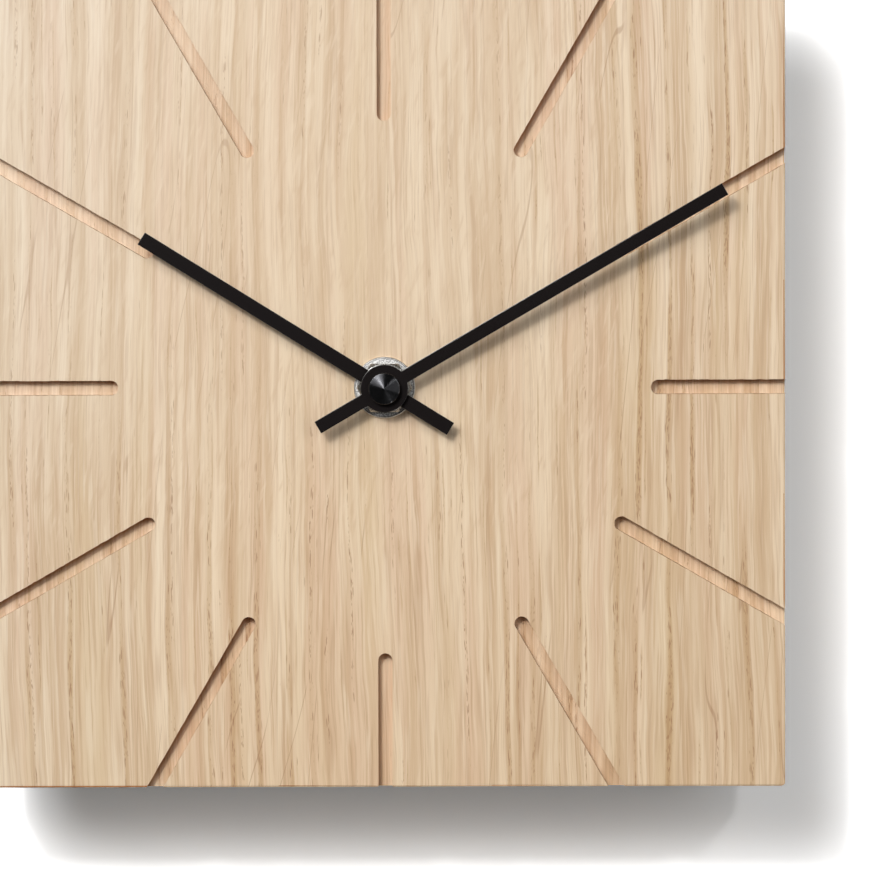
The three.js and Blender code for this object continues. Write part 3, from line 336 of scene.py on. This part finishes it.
    def lay_hairlines(self):
        """A few long thin curves on the face, where the cut follows a fibre."""
        slant = self.times_plus(self.z, -0.011, self.times(self.x, 0.105))
        curve = self.noise(self.point(slant, self.times(self.y, 0.1), self.times(self.z, 0.009)), detail=0)
        thin = self.near(curve, 0.56, 0.0052, 0.0018)
        shown = self.remap(self.noise(self.stretched(self.position, (0.06, 0.06, 0.028)), detail=1), 0.50, 0.57)
        shown = self.times(shown, self.remap(self.y, FACE_MM + 5.0, FACE_MM + 4.0))
        self.lay(self.times(self.times(thin, shown), 0.42), "hairline")

    def lay_pores(self):
        """Dark pores, crowded on the earlywood lines and in a few rows of their own."""
        broken = self.remap(self.along(4.0, 45, shift=71.0), 0.46, 0.56)
        home = self.larger(self.lines, self.times(self.growth_lines(5.3, 0.50, 12.0, 0.45, 0.62), broken))
        self.slits = self.larger(self.pores(home, 0.27, 3.4, 0.012, 2.0), self.pores(home, 0.22, 1.3, 0.016, 9.0))
        self.lay(self.times(self.slits, 0.60), "pore")

    def lay_broad_changes(self):
        """The figure is faintest at the upper left. The colour is paler towards the left edge and deepens downwards.
        """
        faint = self.times(self.remap(self.x, 55.0, 25.0), self.remap(self.z, -110.0, -75.0))
        self.lay(self.times(faint, 0.24), "plain")
        self.stain(self.remap(self.x, -20.0, -100.0), "pale_edge")
        self.stain(self.remap(self.z, 25.0, -175.0, smooth=False), "foot")

    def lay_cut(self, facing_y):
        """Inside a groove: steps of tone, darker walls, and a painted brown shade.

        The shade lies on the wall nearest the key light, which faces away from it, and on the floor beside
        that wall. It deepens the shadow that the lamps give there, so it follows KEY_SLOPE and stays where it
        is under other light.
        """
        step = self.voronoi("W", self.times(self.across, 0.62), scale=5.0, voronoi_dimensions="1D")
        self.stain(self.remap(self.channel(step["Color"], 0), 0.45, 1.0, 0.0, 0.50), "torn_step")
        up, radius = self.from_axis(self.x, self.z)
        pitch = 2 * math.pi / GROOVE["count"]
        angle = self.math("ARCTAN2", self.x, up)
        nearest = self.times(self.math("ROUND", self.times(angle, 1 / pitch)), pitch)
        aside = self.times(radius, self.math("SINE", self.minus(angle, nearest)))
        key_x, key_z = Vector(KEY_SLOPE).normalized()
        key_side = self.times(self.math("SINE", nearest), -key_z)
        key_side = self.times_plus(self.math("COSINE", nearest), key_x, key_side)
        towards_key = self.times(self.times(aside, key_side), 2 * MM / GROOVE["width"])
        self.stain(self.remap(towards_key, 0.35, 0.98), "groove_shade")
        self.stain(1.0, "freshly_cut")
        # The walls are darker all round: the cut wood's own darker tone, and painted shade in the groove
        self.stain(self.remap(self.math("ABSOLUTE", facing_y), 0.65, 0.35), "cut_walls_and_shade")


def oak_material(name, groove=False):
    g = Oak(name)
    # How strongly the growth lines show: calm round the middle, strong towards the right edge
    right = g.remap(g.x, 52.0, 66.0)
    left = g.remap(g.x, -48.0, -64.0)
    low = g.remap(g.z, -85.0, -135.0, 0.34, 0.75)
    strength = g.larger(g.larger(right, g.times(left, 0.50)), low)
    g.lay_bands()
    g.lay_flecks(strength)
    g.lay_earlywood(strength)
    g.lay_hairlines()
    g.lay_pores()
    g.lay_broad_changes()
    normal = g.node("ShaderNodeNewGeometry").outputs["True Normal"]
    facing = g.node("ShaderNodeSeparateXYZ", (normal,)).outputs
    if groove:
        g.lay_cut(facing[1])
    else:
        g.stain(g.remap(g.math("ABSOLUTE", facing[2]), 0.6, 0.9), "end_grain")
    height = g.minus(g.times(g.fibres, 0.45), g.slits)
    height = g.minus(height, g.times(g.lines, 0.4))
    return g.finish(
        base_color=g.colour, roughness=g.remap(g.bands, 0.2, 0.8, 0.52, 0.64),
        normal=g.bump(height, 0.6 if groove else 0.35, 0.06 * MM), specular_ior_level=0.3,
    )


# ---------------------------------------------------------------- metals, plastics and the rest
def speckled(name, base, metallic, roughness, grain=0.25, spread=0.15, bump=0.15, stretch=(1, 1, 1), level=0.5):
    """A finish with fine uneven grain: grain is its size, spread its change of tone."""
    g = Surface(name)
    place = g.place()
    fine = g.noise(g.stretched(place, [share / grain for share in stretch]), detail=3, roughness=0.6)
    wide = g.noise(g.point(*place), scale=0.09)
    dark = rgb(*(value * (1 - spread) for value in base))
    pale = rgb(*(min(1.0, value * (1 + spread) + 0.002) for value in base))
    colour = g.mix(g.remap(fine, 0.35, 0.65), dark, pale)
    colour = g.mix(g.remap(wide, 0.35, 0.7, 0.0, spread), colour, rgb(*(value * 0.8 for value in base)))
    return g.finish(
        base_color=colour, metallic=metallic, specular_ior_level=level,
        roughness=g.remap(fine, 0.25, 0.75, max(0.03, roughness - 0.07), roughness + 0.08),
        normal=g.bump(fine, bump, 0.03 * MM),
    )


def washer_material():
    """Bright plate, brushed round the hole and pitted, with a dark line inside its rim, whose bright colour is a
    painted highlight.
    """
    g = Surface("washer_plate")
    x, y, z = g.place()
    up, radius = g.from_axis(x, z)
    turn = g.math("ARCTAN2", up, x)
    rings = g.noise(g.point(g.times(radius, 7.0), g.times(turn, 3.0), y), detail=3, roughness=0.7)
    pits = g.noise(g.point(x, y, z), scale=2.6, detail=3, roughness=0.75)
    tone = g.remap(g.times_plus(rings, 0.35, g.times(pits, 0.65)), 0.42, 0.58)
    edge = WASHER_RADIUS / MM
    # Painted highlight: the rim's chamfer is coloured bright, as if it caught the light
    rim = g.remap(radius, edge - 0.30, edge - 0.15)
    inset = g.near(radius, edge - 0.45, 0.16, 0.05)
    colour = g.mix(tone, rgb(0.15, 0.147, 0.142), rgb(0.68, 0.672, 0.655))
    colour = g.mix(g.times(inset, 0.7), colour, rgb(0.10, 0.097, 0.092))
    colour = g.mix(rim, colour, rgb(0.88, 0.86, 0.82))
    return g.finish(
        base_color=colour, metallic=1.0, roughness=g.remap(pits, 0.35, 0.65, 0.40, 0.56),
        normal=g.bump(g.plus(pits, g.times(rings, 0.5)), 0.35, 0.05 * MM),
    )


def cap_material():
    """Black anodised turning, with its fine tool rings and a painted, beaded glint round its edge."""
    g = Surface("cap_anodised")
    x, y, z = g.place()
    up, radius = g.from_axis(x, z)
    rings = g.noise(g.point(g.times(radius, 9.0), 0.0, g.times(y, 9.0)), roughness=0.6)
    dust = g.noise(g.point(x, y, z), scale=5.0)
    turn = g.math("ARCTAN2", up, x)
    beads = g.noise(g.point(g.times(turn, 11.0), g.times(y, 2.0), 0.0), detail=1)
    # Painted highlight: a beaded ring of lighter colour near the edge stands for the edge's glint
    glint = g.times(g.near(radius, CAP_RADIUS / MM - 0.16, 0.10, 0.03), g.remap(beads, 0.45, 0.62))
    colour = g.mix(g.remap(dust, 0.4, 0.7), rgb(0.024, 0.024, 0.026), rgb(0.036, 0.036, 0.038))
    colour = g.mix(glint, colour, rgb(0.14, 0.14, 0.145))
    tangent = g.node("ShaderNodeTangent", direction_type="RADIAL", axis="Y").outputs[0]
    return g.finish(
        base_color=colour, metallic=0.90, roughness=g.remap(rings, 0.3, 0.7, 0.22, 0.27),
        normal=g.bump(rings, 0.10, 0.01 * MM), anisotropic=0.94, anisotropic_rotation=0.25, tangent=tangent,
    )


def winding_material(name, pitch):
    """Enamelled wire laid in close turns along x, its colour darker between the turns as painted shade."""
    g = Surface(name)
    place = g.place()
    turns = g.math("SINE", g.times(place[0], 2 * math.pi / pitch))
    uneven = g.noise(g.point(*place), scale=0.6)
    # Painted shade: the colour darkens between the turns, where round wire lies in shade
    colour = g.mix(g.remap(turns, -1.0, 0.4), rgb(0.16, 0.045, 0.018), rgb(0.66, 0.25, 0.095))
    colour = g.mix(g.remap(uneven, 0.4, 0.7, 0.0, 0.35), colour, rgb(0.42, 0.13, 0.05))
    return g.finish(
        base_color=colour, metallic=0.85, roughness=g.remap(uneven, 0.3, 0.7, 0.26, 0.4),
        normal=g.bump(turns, 0.8, 0.08 * MM),
    )


def board_material():
    """Solder mask with copper tracks showing through it as paler lines."""
    g = Surface("board_mask")
    x, y, z = g.place()
    place = g.point(g.times(x, 0.42), 0.0, g.times(z, 0.42))
    cells = g.voronoi("Vector", place, scale=5.0, randomness=0.55, feature="DISTANCE_TO_EDGE")
    track = g.remap(cells["Distance"], 0.06, 0.11)
    weave = g.noise(g.point(x, y, z), scale=3.0)
    colour = g.mix(track, rgb(0.030, 0.165, 0.070), rgb(0.012, 0.085, 0.038))
    colour = g.mix(g.remap(weave, 0.4, 0.7, 0.0, 0.25), colour, rgb(0.05, 0.17, 0.08))
    return g.finish(
        base_color=colour, roughness=g.remap(weave, 0.3, 0.7, 0.25, 0.4), normal=g.bump(track, 0.3, 0.04 * MM),
    )


def sleeve_material():
    """A cell's shrink sleeve in two plain colours, with its bare metal ends."""
    g = Surface("cell_wrap")
    x, y, z = g.place()
    left, right = cell_low.x / MM, cell_high.x / MM
    fine = g.noise(g.point(g.times(x, 0.4), y, z), scale=1.2)
    body = g.mix(g.remap(fine, 0.3, 0.7), rgb(0.020, 0.060, 0.120), rgb(0.030, 0.080, 0.150))
    band = g.math("GREATER_THAN", x, left + (right - left) * 0.74)
    sleeved = g.times(g.math("GREATER_THAN", x, left + 0.5), g.math("LESS_THAN", x, right - 1.8))
    colour = g.mix(band, body, rgb(0.62, 0.63, 0.62))
    colour = g.mix(sleeved, rgb(0.70, 0.70, 0.69), colour)
    return g.finish(
        base_color=colour, metallic=g.minus(1.0, sleeved), roughness=g.remap(fine, 0.3, 0.7, 0.22, 0.34),
        normal=g.bump(fine, 0.08, 0.1 * MM),
    )


finish_of = {}


def give(finish, *node_names):
    """Those nodes take the finish, and so do the pieces that stand for them."""
    for node_name in node_names:
        finish_of[node_name] = finish
        for slot in frame["nodes"][node_name].material_slots:
            slot.material = finish


give(oak_material("oak_face"), "oak_body")
oak_groove = oak_material("oak_groove", groove=True)
give(
    speckled("hand_paint", (0.0076, 0.0054, 0.0053), 0.0, 0.36, grain=0.16, spread=0.12, bump=0.08, level=0.05),
    "hour_hand", "minute_hand",
)
hand_edge = speckled("hand_edge", (0.120, 0.117, 0.112), 0.9, 0.30, grain=0.16, bump=0.05)
give(washer_material(), "dial_washer")
give(cap_material(), "cap_nut")
give(
    speckled("zinc_plate", (0.37, 0.38, 0.395), 1.0, 0.40, grain=0.5, spread=0.20),
    "minute_arbor", "hanger_plate", "hanger_screw_left", "hanger_screw_right", "time_crystal", "receiver_crystal",
)
give(speckled("nut_plate", (0.60, 0.59, 0.56), 1.0, 0.30, grain=0.3, spread=0.25, bump=0.20), "centre_nut")
give(
    speckled("brass_turned", (0.78, 0.58, 0.28), 1.0, 0.26, grain=0.4, spread=0.12, stretch=(1, 4, 1)),
    "threaded_bushing",
)
give(speckled("stator_iron", (0.50, 0.51, 0.53), 1.0, 0.34, grain=0.35, spread=0.14), "stator", "coil_core")
give(
    speckled("contact_nickel", (0.72, 0.71, 0.69), 1.0, 0.20, grain=0.5, spread=0.10, bump=0.06),
    "positive_contact", "negative_contact", "battery_spring",
)
give(
    speckled("case_moulding", (0.020, 0.0205, 0.0225), 0.0, 0.52, grain=0.22, spread=0.25, bump=0.45, level=0.4),
    "front_case", "rear_cover",
)
give(
    speckled("chip_epoxy", (0.016, 0.016, 0.017), 0.0, 0.42, grain=0.2, spread=0.25, bump=0.25, level=0.4),
    "clock_chip", "receiver_chip", "position_led", "position_sensor", "set_switch", "receive_switch", "reset_switch",
)
give(
    speckled("white_acetal", (0.78, 0.765, 0.71), 0.0, 0.40, grain=0.3, spread=0.05, bump=0.10),
    "middle_plate", "centre_wheel", "motion_wheel", "hour_wheel", "second_wheel", "first_wheel", "rotor_pinion",
    "coil_bobbin",
)
give(
    speckled("button_moulding", (0.56, 0.565, 0.56), 0.0, 0.42, spread=0.06, bump=0.25),
    "set_button", "receive_button", "reset_button",
)
give(
    speckled("rubber_black", (0.020, 0.020, 0.020), 0.0, 0.72, grain=0.3, spread=0.3, bump=0.5, level=0.3),
    "rubber_washer",
)
give(
    speckled("ferrite_dark", (0.045, 0.045, 0.050), 0.3, 0.46, grain=0.2, spread=0.3, bump=0.35),
    "ferrite_rod", "rotor_magnet",
)
give(winding_material("motor_winding", 0.16), "motor_coil")
give(winding_material("antenna_winding", 0.34), "antenna_coil")
give(board_material(), "circuit_board")
give(sleeve_material(), "battery_cell")

body_of = {name: body for body, names in frame["record"]["behaviour"]["bodies"].items() for name in names}


# ---------------------------------------------------------------- making pieces
def adopt(piece, node_name):
    """The piece stands for that node: it rides with it and takes its finish."""
    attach(piece, body_of[node_name])
    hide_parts(node_name)
    if not piece.data.materials:
        piece.data.materials.append(finish_of[node_name])


def link(made):
    bpy.context.scene.collection.objects.link(made)
    return made


def piece_from(name, tool):
    """A new object from a bmesh, which is used up."""
    data = bpy.data.meshes.new(name)
    tool.to_mesh(data)
    tool.free()
    return link(bpy.data.objects.new(name, data))


def apply_modifiers(piece):
    depsgraph = bpy.context.evaluated_depsgraph_get()
    data = bpy.data.meshes.new_from_object(piece.evaluated_get(depsgraph))
    piece.modifiers.clear()
    old = piece.data
    piece.data = data
    bpy.data.meshes.remove(old)


def welded_copy(node_name):
    """A node's mesh with its doubled corners merged."""
    tool = bmesh.new()
    tool.from_mesh(frame["nodes"][node_name].data)
    bmesh.ops.remove_doubles(tool, verts=tool.verts, dist=WELD)
    return tool


def shade_smooth(piece, angle):
    """Smooth shading over the curved faces. The large flat ones keep their own plane."""
    for face in piece.data.polygons:
        face.use_smooth = face.area < LARGE_FACE and len(face.vertices) < 6
    tool = bmesh.new()
    tool.from_mesh(piece.data)
    for edge in tool.edges:
        edge.smooth = edge.is_manifold and edge.calc_face_angle(0) < math.radians(angle)
    tool.to_mesh(piece.data)
    tool.free()


def eased(name, node_name, width, worn=None):
    """A copy of a node with its sharp edges rounded, in the node's place. Worn is the rounding's own finish."""
    tool = welded_copy(node_name)
    bmesh.ops.dissolve_limit(tool, angle_limit=math.radians(FLAT_ANGLE), verts=tool.verts, edges=tool.edges)
    piece = piece_from(name, tool)
    bevel = piece.modifiers.new("edges", "BEVEL")
    bevel.width = width
    bevel.segments = 2
    bevel.limit_method = "ANGLE"
    bevel.angle_limit = math.radians(MOULDED_ANGLE)
    if worn:
        piece.data.materials.append(finish_of[node_name])
        piece.data.materials.append(worn)
        bevel.material = 1
    apply_modifiers(piece)
    shade_smooth(piece, MOULDED_ANGLE)
    adopt(piece, node_name)


def lathe(name, node_name, profile, steps, origin, along):
    """A profile of (radius, distance) turned about a line from origin, in the node's place."""
    tool = bmesh.new()
    turn = Vector((0, 0, 1)).rotation_difference(along).to_matrix()
    rings = []
    for radius, distance in profile:
        ring = []
        for step in range(steps if radius else 1):
            angle = 2 * math.pi * step / steps
            ring.append(tool.verts.new(origin + turn @ Vector((
                radius * math.cos(angle), radius * math.sin(angle), distance,
            ))))
        rings.append(ring)
    hollow = profile[0][0] > 0 and profile[-1][0] > 0
    for low, high in zip(rings, rings[1:] + rings[:1] if hollow else rings[1:]):
        for step in range(steps):
            after = (step + 1) % steps
            if len(low) == 1:
                tool.faces.new((low[0], high[after], high[step]))
            elif len(high) == 1:
                tool.faces.new((low[step], low[after], high[0]))
            else:
                tool.faces.new((low[step], low[after], high[after], high[step]))
    bmesh.ops.recalc_face_normals(tool, faces=tool.faces)
    piece = piece_from(name, tool)
    shade_smooth(piece, TURNED_ANGLE)
    adopt(piece, node_name)


def rounded(profile, radius, steps=3):
    """A closed profile with each corner cut to a small arc."""
    made = []
    for i, corner in enumerate(profile):
        here = Vector(corner)
        before = Vector(profile[i - 1]) - here
        after = Vector(profile[(i + 1) % len(profile)]) - here
        reach = min(radius, before.length / 2.2, after.length / 2.2)
        start = here + before.normalized() * reach
        end = here + after.normalized() * reach
        for step in range(steps + 1):
            t = step / steps
            made.append(tuple(start * (1 - t) ** 2 + here * 2 * t * (1 - t) + end * t * t))
    return made


# ---------------------------------------------------------------- the oak block
def torn(point, depth):
    """How far the cutter pulled fibres from the wood, 0 to 1, at a point of the dial."""
    streaks = noise.noise(Vector((point.x * 1500, depth * 400, point.z * 210)))
    chips = noise.noise(Vector((point.x * 700 + 31, depth * 300, point.z * 130 + 7)))
    return max(0.0, 0.30 + 0.55 * streaks + 0.45 * chips)


def groove_outline(start, reach, half):
    """(distance, offset) round a groove: its round inner end, one side out, the other side back."""
    count = int((reach - start) / TORN_STEP)
    turns = [math.pi * i / ARC_STEPS for i in range(ARC_STEPS + 1)]
    arc = [(start - half * math.sin(turn), -half * math.cos(turn)) for turn in turns]
    side = [start + (reach - start) * i / count for i in range(1, count + 1)]
    return arc + [(distance, half) for distance in side] + [(distance, -half) for distance in reversed(side)]


def groove_floor(tool, floor, grain):
    """Ribs from wall to wall over a groove's lowest ring, each point at its own torn depth."""
    middle, side = ARC_STEPS // 2, (len(floor) - ARC_STEPS - 1) // 2
    arc = floor[:ARC_STEPS + 1]
    left = arc[middle:] + floor[ARC_STEPS + 1:ARC_STEPS + 1 + side]
    right = arc[middle::-1] + floor[ARC_STEPS + 1 + side:][::-1]

    def floor_point(a, b, t):
        point = a.co.lerp(b.co, t)
        inside = min(1.0, min(t, 1 - t) * 6)
        point.y = FACE_Y + GROOVE["depth"] + inside * torn(point, 3) * (0.05 + 0.16 * grain) * MM
        return tool.verts.new(point)

    rows = [[left[0]]]
    for a, b in zip(left[1:], right[1:]):
        rows.append([a] + [floor_point(a, b, k / FLOOR_LANES) for k in range(1, FLOOR_LANES)] + [b])
    for one, two in zip(rows, rows[1:]):
        for k in range(FLOOR_LANES):
            if len(one) == 1:
                tool.faces.new((one[0], two[k], two[k + 1]))
            else:
                tool.faces.new((one[k], two[k], two[k + 1], one[k + 1]))
    tool.faces.new(rows[-1])


def groove_cutter(number):
    """A closed tool, as wide as its groove and up to the torn depth wider on each side."""
    angle = 2 * math.pi * number / GROOVE["count"]
    outward = Vector((math.sin(angle), 0, math.cos(angle)))
    side = Vector((math.cos(angle), 0, -math.sin(angle)))
    half = GROOVE["width"] / 2
    start = HALF_SIDE - GROOVE["length"] + half
    reach = HALF_SIDE / max(abs(outward.x), abs(outward.z)) + half * 2.5
    grain = abs(outward.x)
    outline = groove_outline(start, reach, half)
    tool = bmesh.new()
    rings = []
    for level in TORN_LEVELS:
        ring = []
        for distance, offset in outline:
            base = CENTRE + outward * distance + side * offset
            pull = torn(base, level) * (0.03 + 0.15 * grain) * MM
            lean = Vector((min(0.0, distance - start), 0, offset)).normalized()
            moved = base + (outward * lean.x + side * lean.z) * (CUT_CLEARANCE + pull)
            moved.y = FACE_Y + level
            ring.append(tool.verts.new(moved))
        rings.append(ring)
    for low, high in zip(rings, rings[1:]):
        for i in range(len(low)):
            after = (i + 1) % len(low)
            tool.faces.new((low[i], low[after], high[after], high[i]))
    tool.faces.new(rings[0])
    groove_floor(tool, rings[-1], grain)
    bmesh.ops.recalc_face_normals(tool, faces=tool.faces)
    bmesh.ops.triangulate(tool, faces=tool.faces)
    return tool


def oak_block():
    """The block, its grooves cut again a little deeper where fibres tore out."""
    block = piece_from("oak_block", welded_copy("oak_body"))
    block.data.materials.clear()
    block.data.materials.append(finish_of["oak_body"])
    block.data.materials.append(oak_groove)
    cutters = []
    for number in range(GROOVE["count"]):
        cutter = piece_from(f"cutter_{number}", groove_cutter(number))
        cutters.append(cutter)
        cut = block.modifiers.new(cutter.name, "BOOLEAN")
        cut.operation = "DIFFERENCE"
        cut.solver = "MANIFOLD"
        cut.object = cutter
    apply_modifiers(block)
    for cutter in cutters:
        bpy.data.objects.remove(cutter)
    floor = FACE_Y + GROOVE["depth"] + 0.4 * MM
    inner = HALF_SIDE - 0.3 * MM
    for face in block.data.polygons:
        middle = face.center
        on_side = abs(middle.x) > inner or abs(middle.z - CENTRE.z) > inner
        sunk = FACE_Y + 0.01 * MM < middle.y < floor
        outside = on_side and (abs(face.normal.y) < 0.3 or middle.y < FACE_Y + EDGE_EASE + 0.05 * MM)
        face.material_index = 1 if sunk and not outside else 0
    while len(block.data.materials) > 2:
        block.data.materials.pop()
    adopt(block, "oak_body")


oak_block()

# ---------------------------------------------------------------- turned and moulded pieces
washer_depth = washer_high.y - washer_low.y
washer_bore, washer_chamfer = 4.15 * MM, 0.25 * MM
lathe("washer_ring", "dial_washer", rounded([
    (washer_bore, 0.0), (WASHER_RADIUS, 0.0), (WASHER_RADIUS, washer_depth - washer_chamfer),
    (WASHER_RADIUS - washer_chamfer, washer_depth), (washer_bore, washer_depth),
], 0.06 * MM), 128, Vector((0, washer_high.y, CENTRE.z)), OUT)

cap_height = cap_high.y - cap_low.y
cap_bore, cap_bore_top = 1.25 * MM, 2.0 * MM
cone, bevel_width, chamfer = 0.84 * MM, 0.2 * MM, 0.08 * MM
cap_shoulder = cap_height - cone
lathe("cap_turning", "cap_nut", [
    (0.0, cap_bore_top), (cap_bore, cap_bore_top), (cap_bore, 0.0), (CAP_RADIUS - chamfer, 0.0),
    (CAP_RADIUS, chamfer), (CAP_RADIUS, cap_shoulder - bevel_width),
    (CAP_RADIUS - bevel_width * 0.35, cap_shoulder - bevel_width * 0.3), (CAP_RADIUS - bevel_width, cap_shoulder),
    (CAP_RADIUS * 0.5, cap_height - cone * 0.512), (0.12 * MM, cap_height - 0.045 * MM), (0.0, cap_height),
], 128, Vector((0, cap_high.y, CENTRE.z)), OUT)

# The cell: a crimped can in its sleeve, with a nub at one end. Its rounds are given in millimetres, as
# the inset from the can's radius and the distance from its flat end, or back from its shoulder.
FLAT_END = ((1.9, 0.35), (1.5, 0.05), (1.2, 0.0), (0.75, 0.0), (0.45, 0.12), (0.28, 0.40), (0.10, 0.52), (0.0, 0.75))
SHOULDER = ((0.0, 0.9), (0.12, 0.45), (0.6, 0.08), (1.1, 0.0), (1.5, 0.1))
cell_length = cell_high.x - cell_low.x
cell_shoulder = cell_length - 1.2 * MM
nub, nub_round = 2.65 * MM, 0.35 * MM
lathe(
    "cell_can", "battery_cell",
    [(0.0, FLAT_END[0][1] * MM)]
    + [(CELL_RADIUS - inset * MM, distance * MM) for inset, distance in FLAT_END]
    + [(CELL_RADIUS - inset * MM, cell_shoulder - back * MM) for inset, back in SHOULDER]
    + [
        (nub + 0.4 * MM, cell_shoulder - 0.1 * MM), (nub, cell_shoulder + 0.25 * MM),
        (nub, cell_length - nub_round), (nub - nub_round, cell_length), (0.0, cell_length),
    ],
    96, Vector((cell_low.x, (cell_low.y + cell_high.y) / 2, (cell_low.z + cell_high.z) / 2)), Vector((1, 0, 0)),
)

for piece_name, node_name, width, worn in (
    ("nut_hexagon", "centre_nut", 0.12, None),
    ("hour_blade", "hour_hand", 0.09, hand_edge),
    ("minute_blade", "minute_hand", 0.10, hand_edge),
    ("hanger_stamping", "hanger_plate", 0.15, None),
    ("cover_moulding", "rear_cover", 0.2, None),
    ("set_key", "set_button", 0.15, None),
    ("receive_key", "receive_button", 0.15, None),
    ("reset_key", "reset_button", 0.15, None),
):
    eased(piece_name, node_name, width * MM, worn)


# ---------------------------------------------------------------- stage, lights, camera
def wall_material():
    """White paint that keeps the clock's shadow and can't be seen from behind."""
    g = Surface("wall_paint")
    grain = g.noise(g.point(*g.place()), scale=0.8)
    tone = g.mix(grain, rgb(*(WALL_WHITE * 0.98,) * 3), rgb(*(WALL_WHITE,) * 3))
    paint = g.node("ShaderNodeBsdfDiffuse", (tone,)).outputs[0]
    behind = g.node("ShaderNodeNewGeometry").outputs["Backfacing"]
    clear = g.node("ShaderNodeBsdfTransparent").outputs[0]
    mixed = g.node("ShaderNodeMixShader", (behind, paint, clear))
    g.put(g.tree.nodes["Material Output"].inputs["Surface"], mixed.outputs[0])
    g.tree.nodes.remove(g.shader)
    return g.material


def card(name, y, middle_z, reach, material, hidden_from):
    """A square stage sheet that faces the viewer, hidden from those kinds of ray."""
    tool = bmesh.new()
    corners = [(-reach, -reach), (reach, -reach), (reach, reach), (-reach, reach)]
    tool.faces.new([tool.verts.new((x, y, middle_z + z)) for x, z in corners])
    made = piece_from(name, tool)
    made.data.materials.append(material)
    for kind in hidden_from:
        setattr(made, "visible_" + kind, False)


card(
    "wall", oak_high.y + WALL_GAP, 0.0, WALL_REACH, wall_material(),
    ("shadow", "diffuse", "glossy", "transmission"),
)
# A black card behind the block, seen by bounced light only: it keeps the lit back from tinting the wall
black = Surface("flag_black").finish(base_color=rgb(0, 0, 0), roughness=1.0, specular_ior_level=0.0)
card(
    "flag", oak_high.y + 0.5 * MM, CENTRE.z, HALF_SIDE - 0.5 * MM, black,
    ("camera", "glossy", "transmission", "shadow"),
)


def lamp(name, way, width, share, height=None):
    """A soft lamp that faces the clock: share is how much of the full light it gives a face square to it."""
    data = bpy.data.lights.new(name, "AREA")
    data.shape = "ELLIPSE"
    data.size = width * ROUND_LAMP
    data.size_y = (height or width) * ROUND_LAMP
    data.energy = share * (math.pi * LAMP_DISTANCE) ** 2
    made = link(bpy.data.objects.new(name, data))
    way = Vector(way).normalized()
    made.location = CENTRE + way * LAMP_DISTANCE
    made.rotation_euler = way.to_track_quat("Z", "Y").to_euler()


def dial_lamp(name, slope, width, share, height=None):
    """A lamp before the dial, whose share counts on the dial itself."""
    way = Vector((slope[0], -1, slope[1]))
    lamp(name, way, width, share * way.length, height)


dial_lamp("key_light", KEY_SLOPE, 0.13, 0.27)
dial_lamp("key_skirt", KEY_SLOPE, 0.38, 0.21)
dial_lamp("wide_light", WIDE_SLOPE, 0.74, 0.38)
dial_lamp("side_light", SIDE_SLOPE, 0.62, 0.095, 0.66)
dial_lamp("glint_light", GLINT_SLOPE, 0.07, 0.05)
dial_lamp("low_light", LOW_SLOPE, 0.16, 0.022)
lamp("back_high", (-0.45, 0.8, 0.5), 0.8, 0.35)
lamp("back_low", (0.6, 0.8, -0.3), 0.8, 0.15)
for side, (across, up) in {"left": (-1, 0), "right": (1, 0), "top": (0, 1), "bottom": (0, -1)}.items():
    lamp("edge_" + side, (across, 0.50, up), 0.8, 0.32)


def room():
    """A dim room that is white to the camera, and less so in reflections of what lies behind the clock."""
    world = bpy.data.worlds.new("room")
    bpy.context.scene.world = world
    world.use_nodes = True
    world.node_tree.nodes.clear()
    g = Nodes(world.node_tree)
    paths = g.node("ShaderNodeLightPath").outputs
    way = g.node("ShaderNodeSeparateXYZ", (g.node("ShaderNodeTexCoord").outputs["Generated"],)).outputs
    behind = g.remap(way["Y"], -0.1, 0.3, smooth=False)
    mirrored = g.larger(paths["Is Glossy Ray"], paths["Is Transmission Ray"])
    towards_wall = g.times(g.times(mirrored, MIRRORED_ROOM), behind)
    seen = g.larger(paths["Is Camera Ray"], towards_wall)
    dim = g.node("ShaderNodeBackground", (None, ROOM_LIGHT)).outputs[0]
    white = g.node("ShaderNodeBackground", (rgb(1, 1, 1),)).outputs[0]
    mixed = g.node("ShaderNodeMixShader", (seen, dim, white)).outputs[0]
    g.node("ShaderNodeOutputWorld", (mixed,))


room()


def camera():
    data = bpy.data.cameras.new("camera")
    data.lens = LENS
    data.sensor_width = SENSOR
    data.clip_end = 100
    made = link(bpy.data.objects.new("camera", data))
    way = Vector((0, -math.cos(ELEVATION), math.sin(ELEVATION)))
    made.location = CENTRE + PHOTO_OFFSET + way * (PHOTO_WIDTH * LENS / SENSOR)
    made.rotation_euler = (way.to_track_quat("Z", "Y") @ Quaternion((0, 0, 1), ROLL)).to_euler()
    bpy.context.scene.camera = made


camera()
bpy.context.scene.view_settings.view_transform = "Standard"
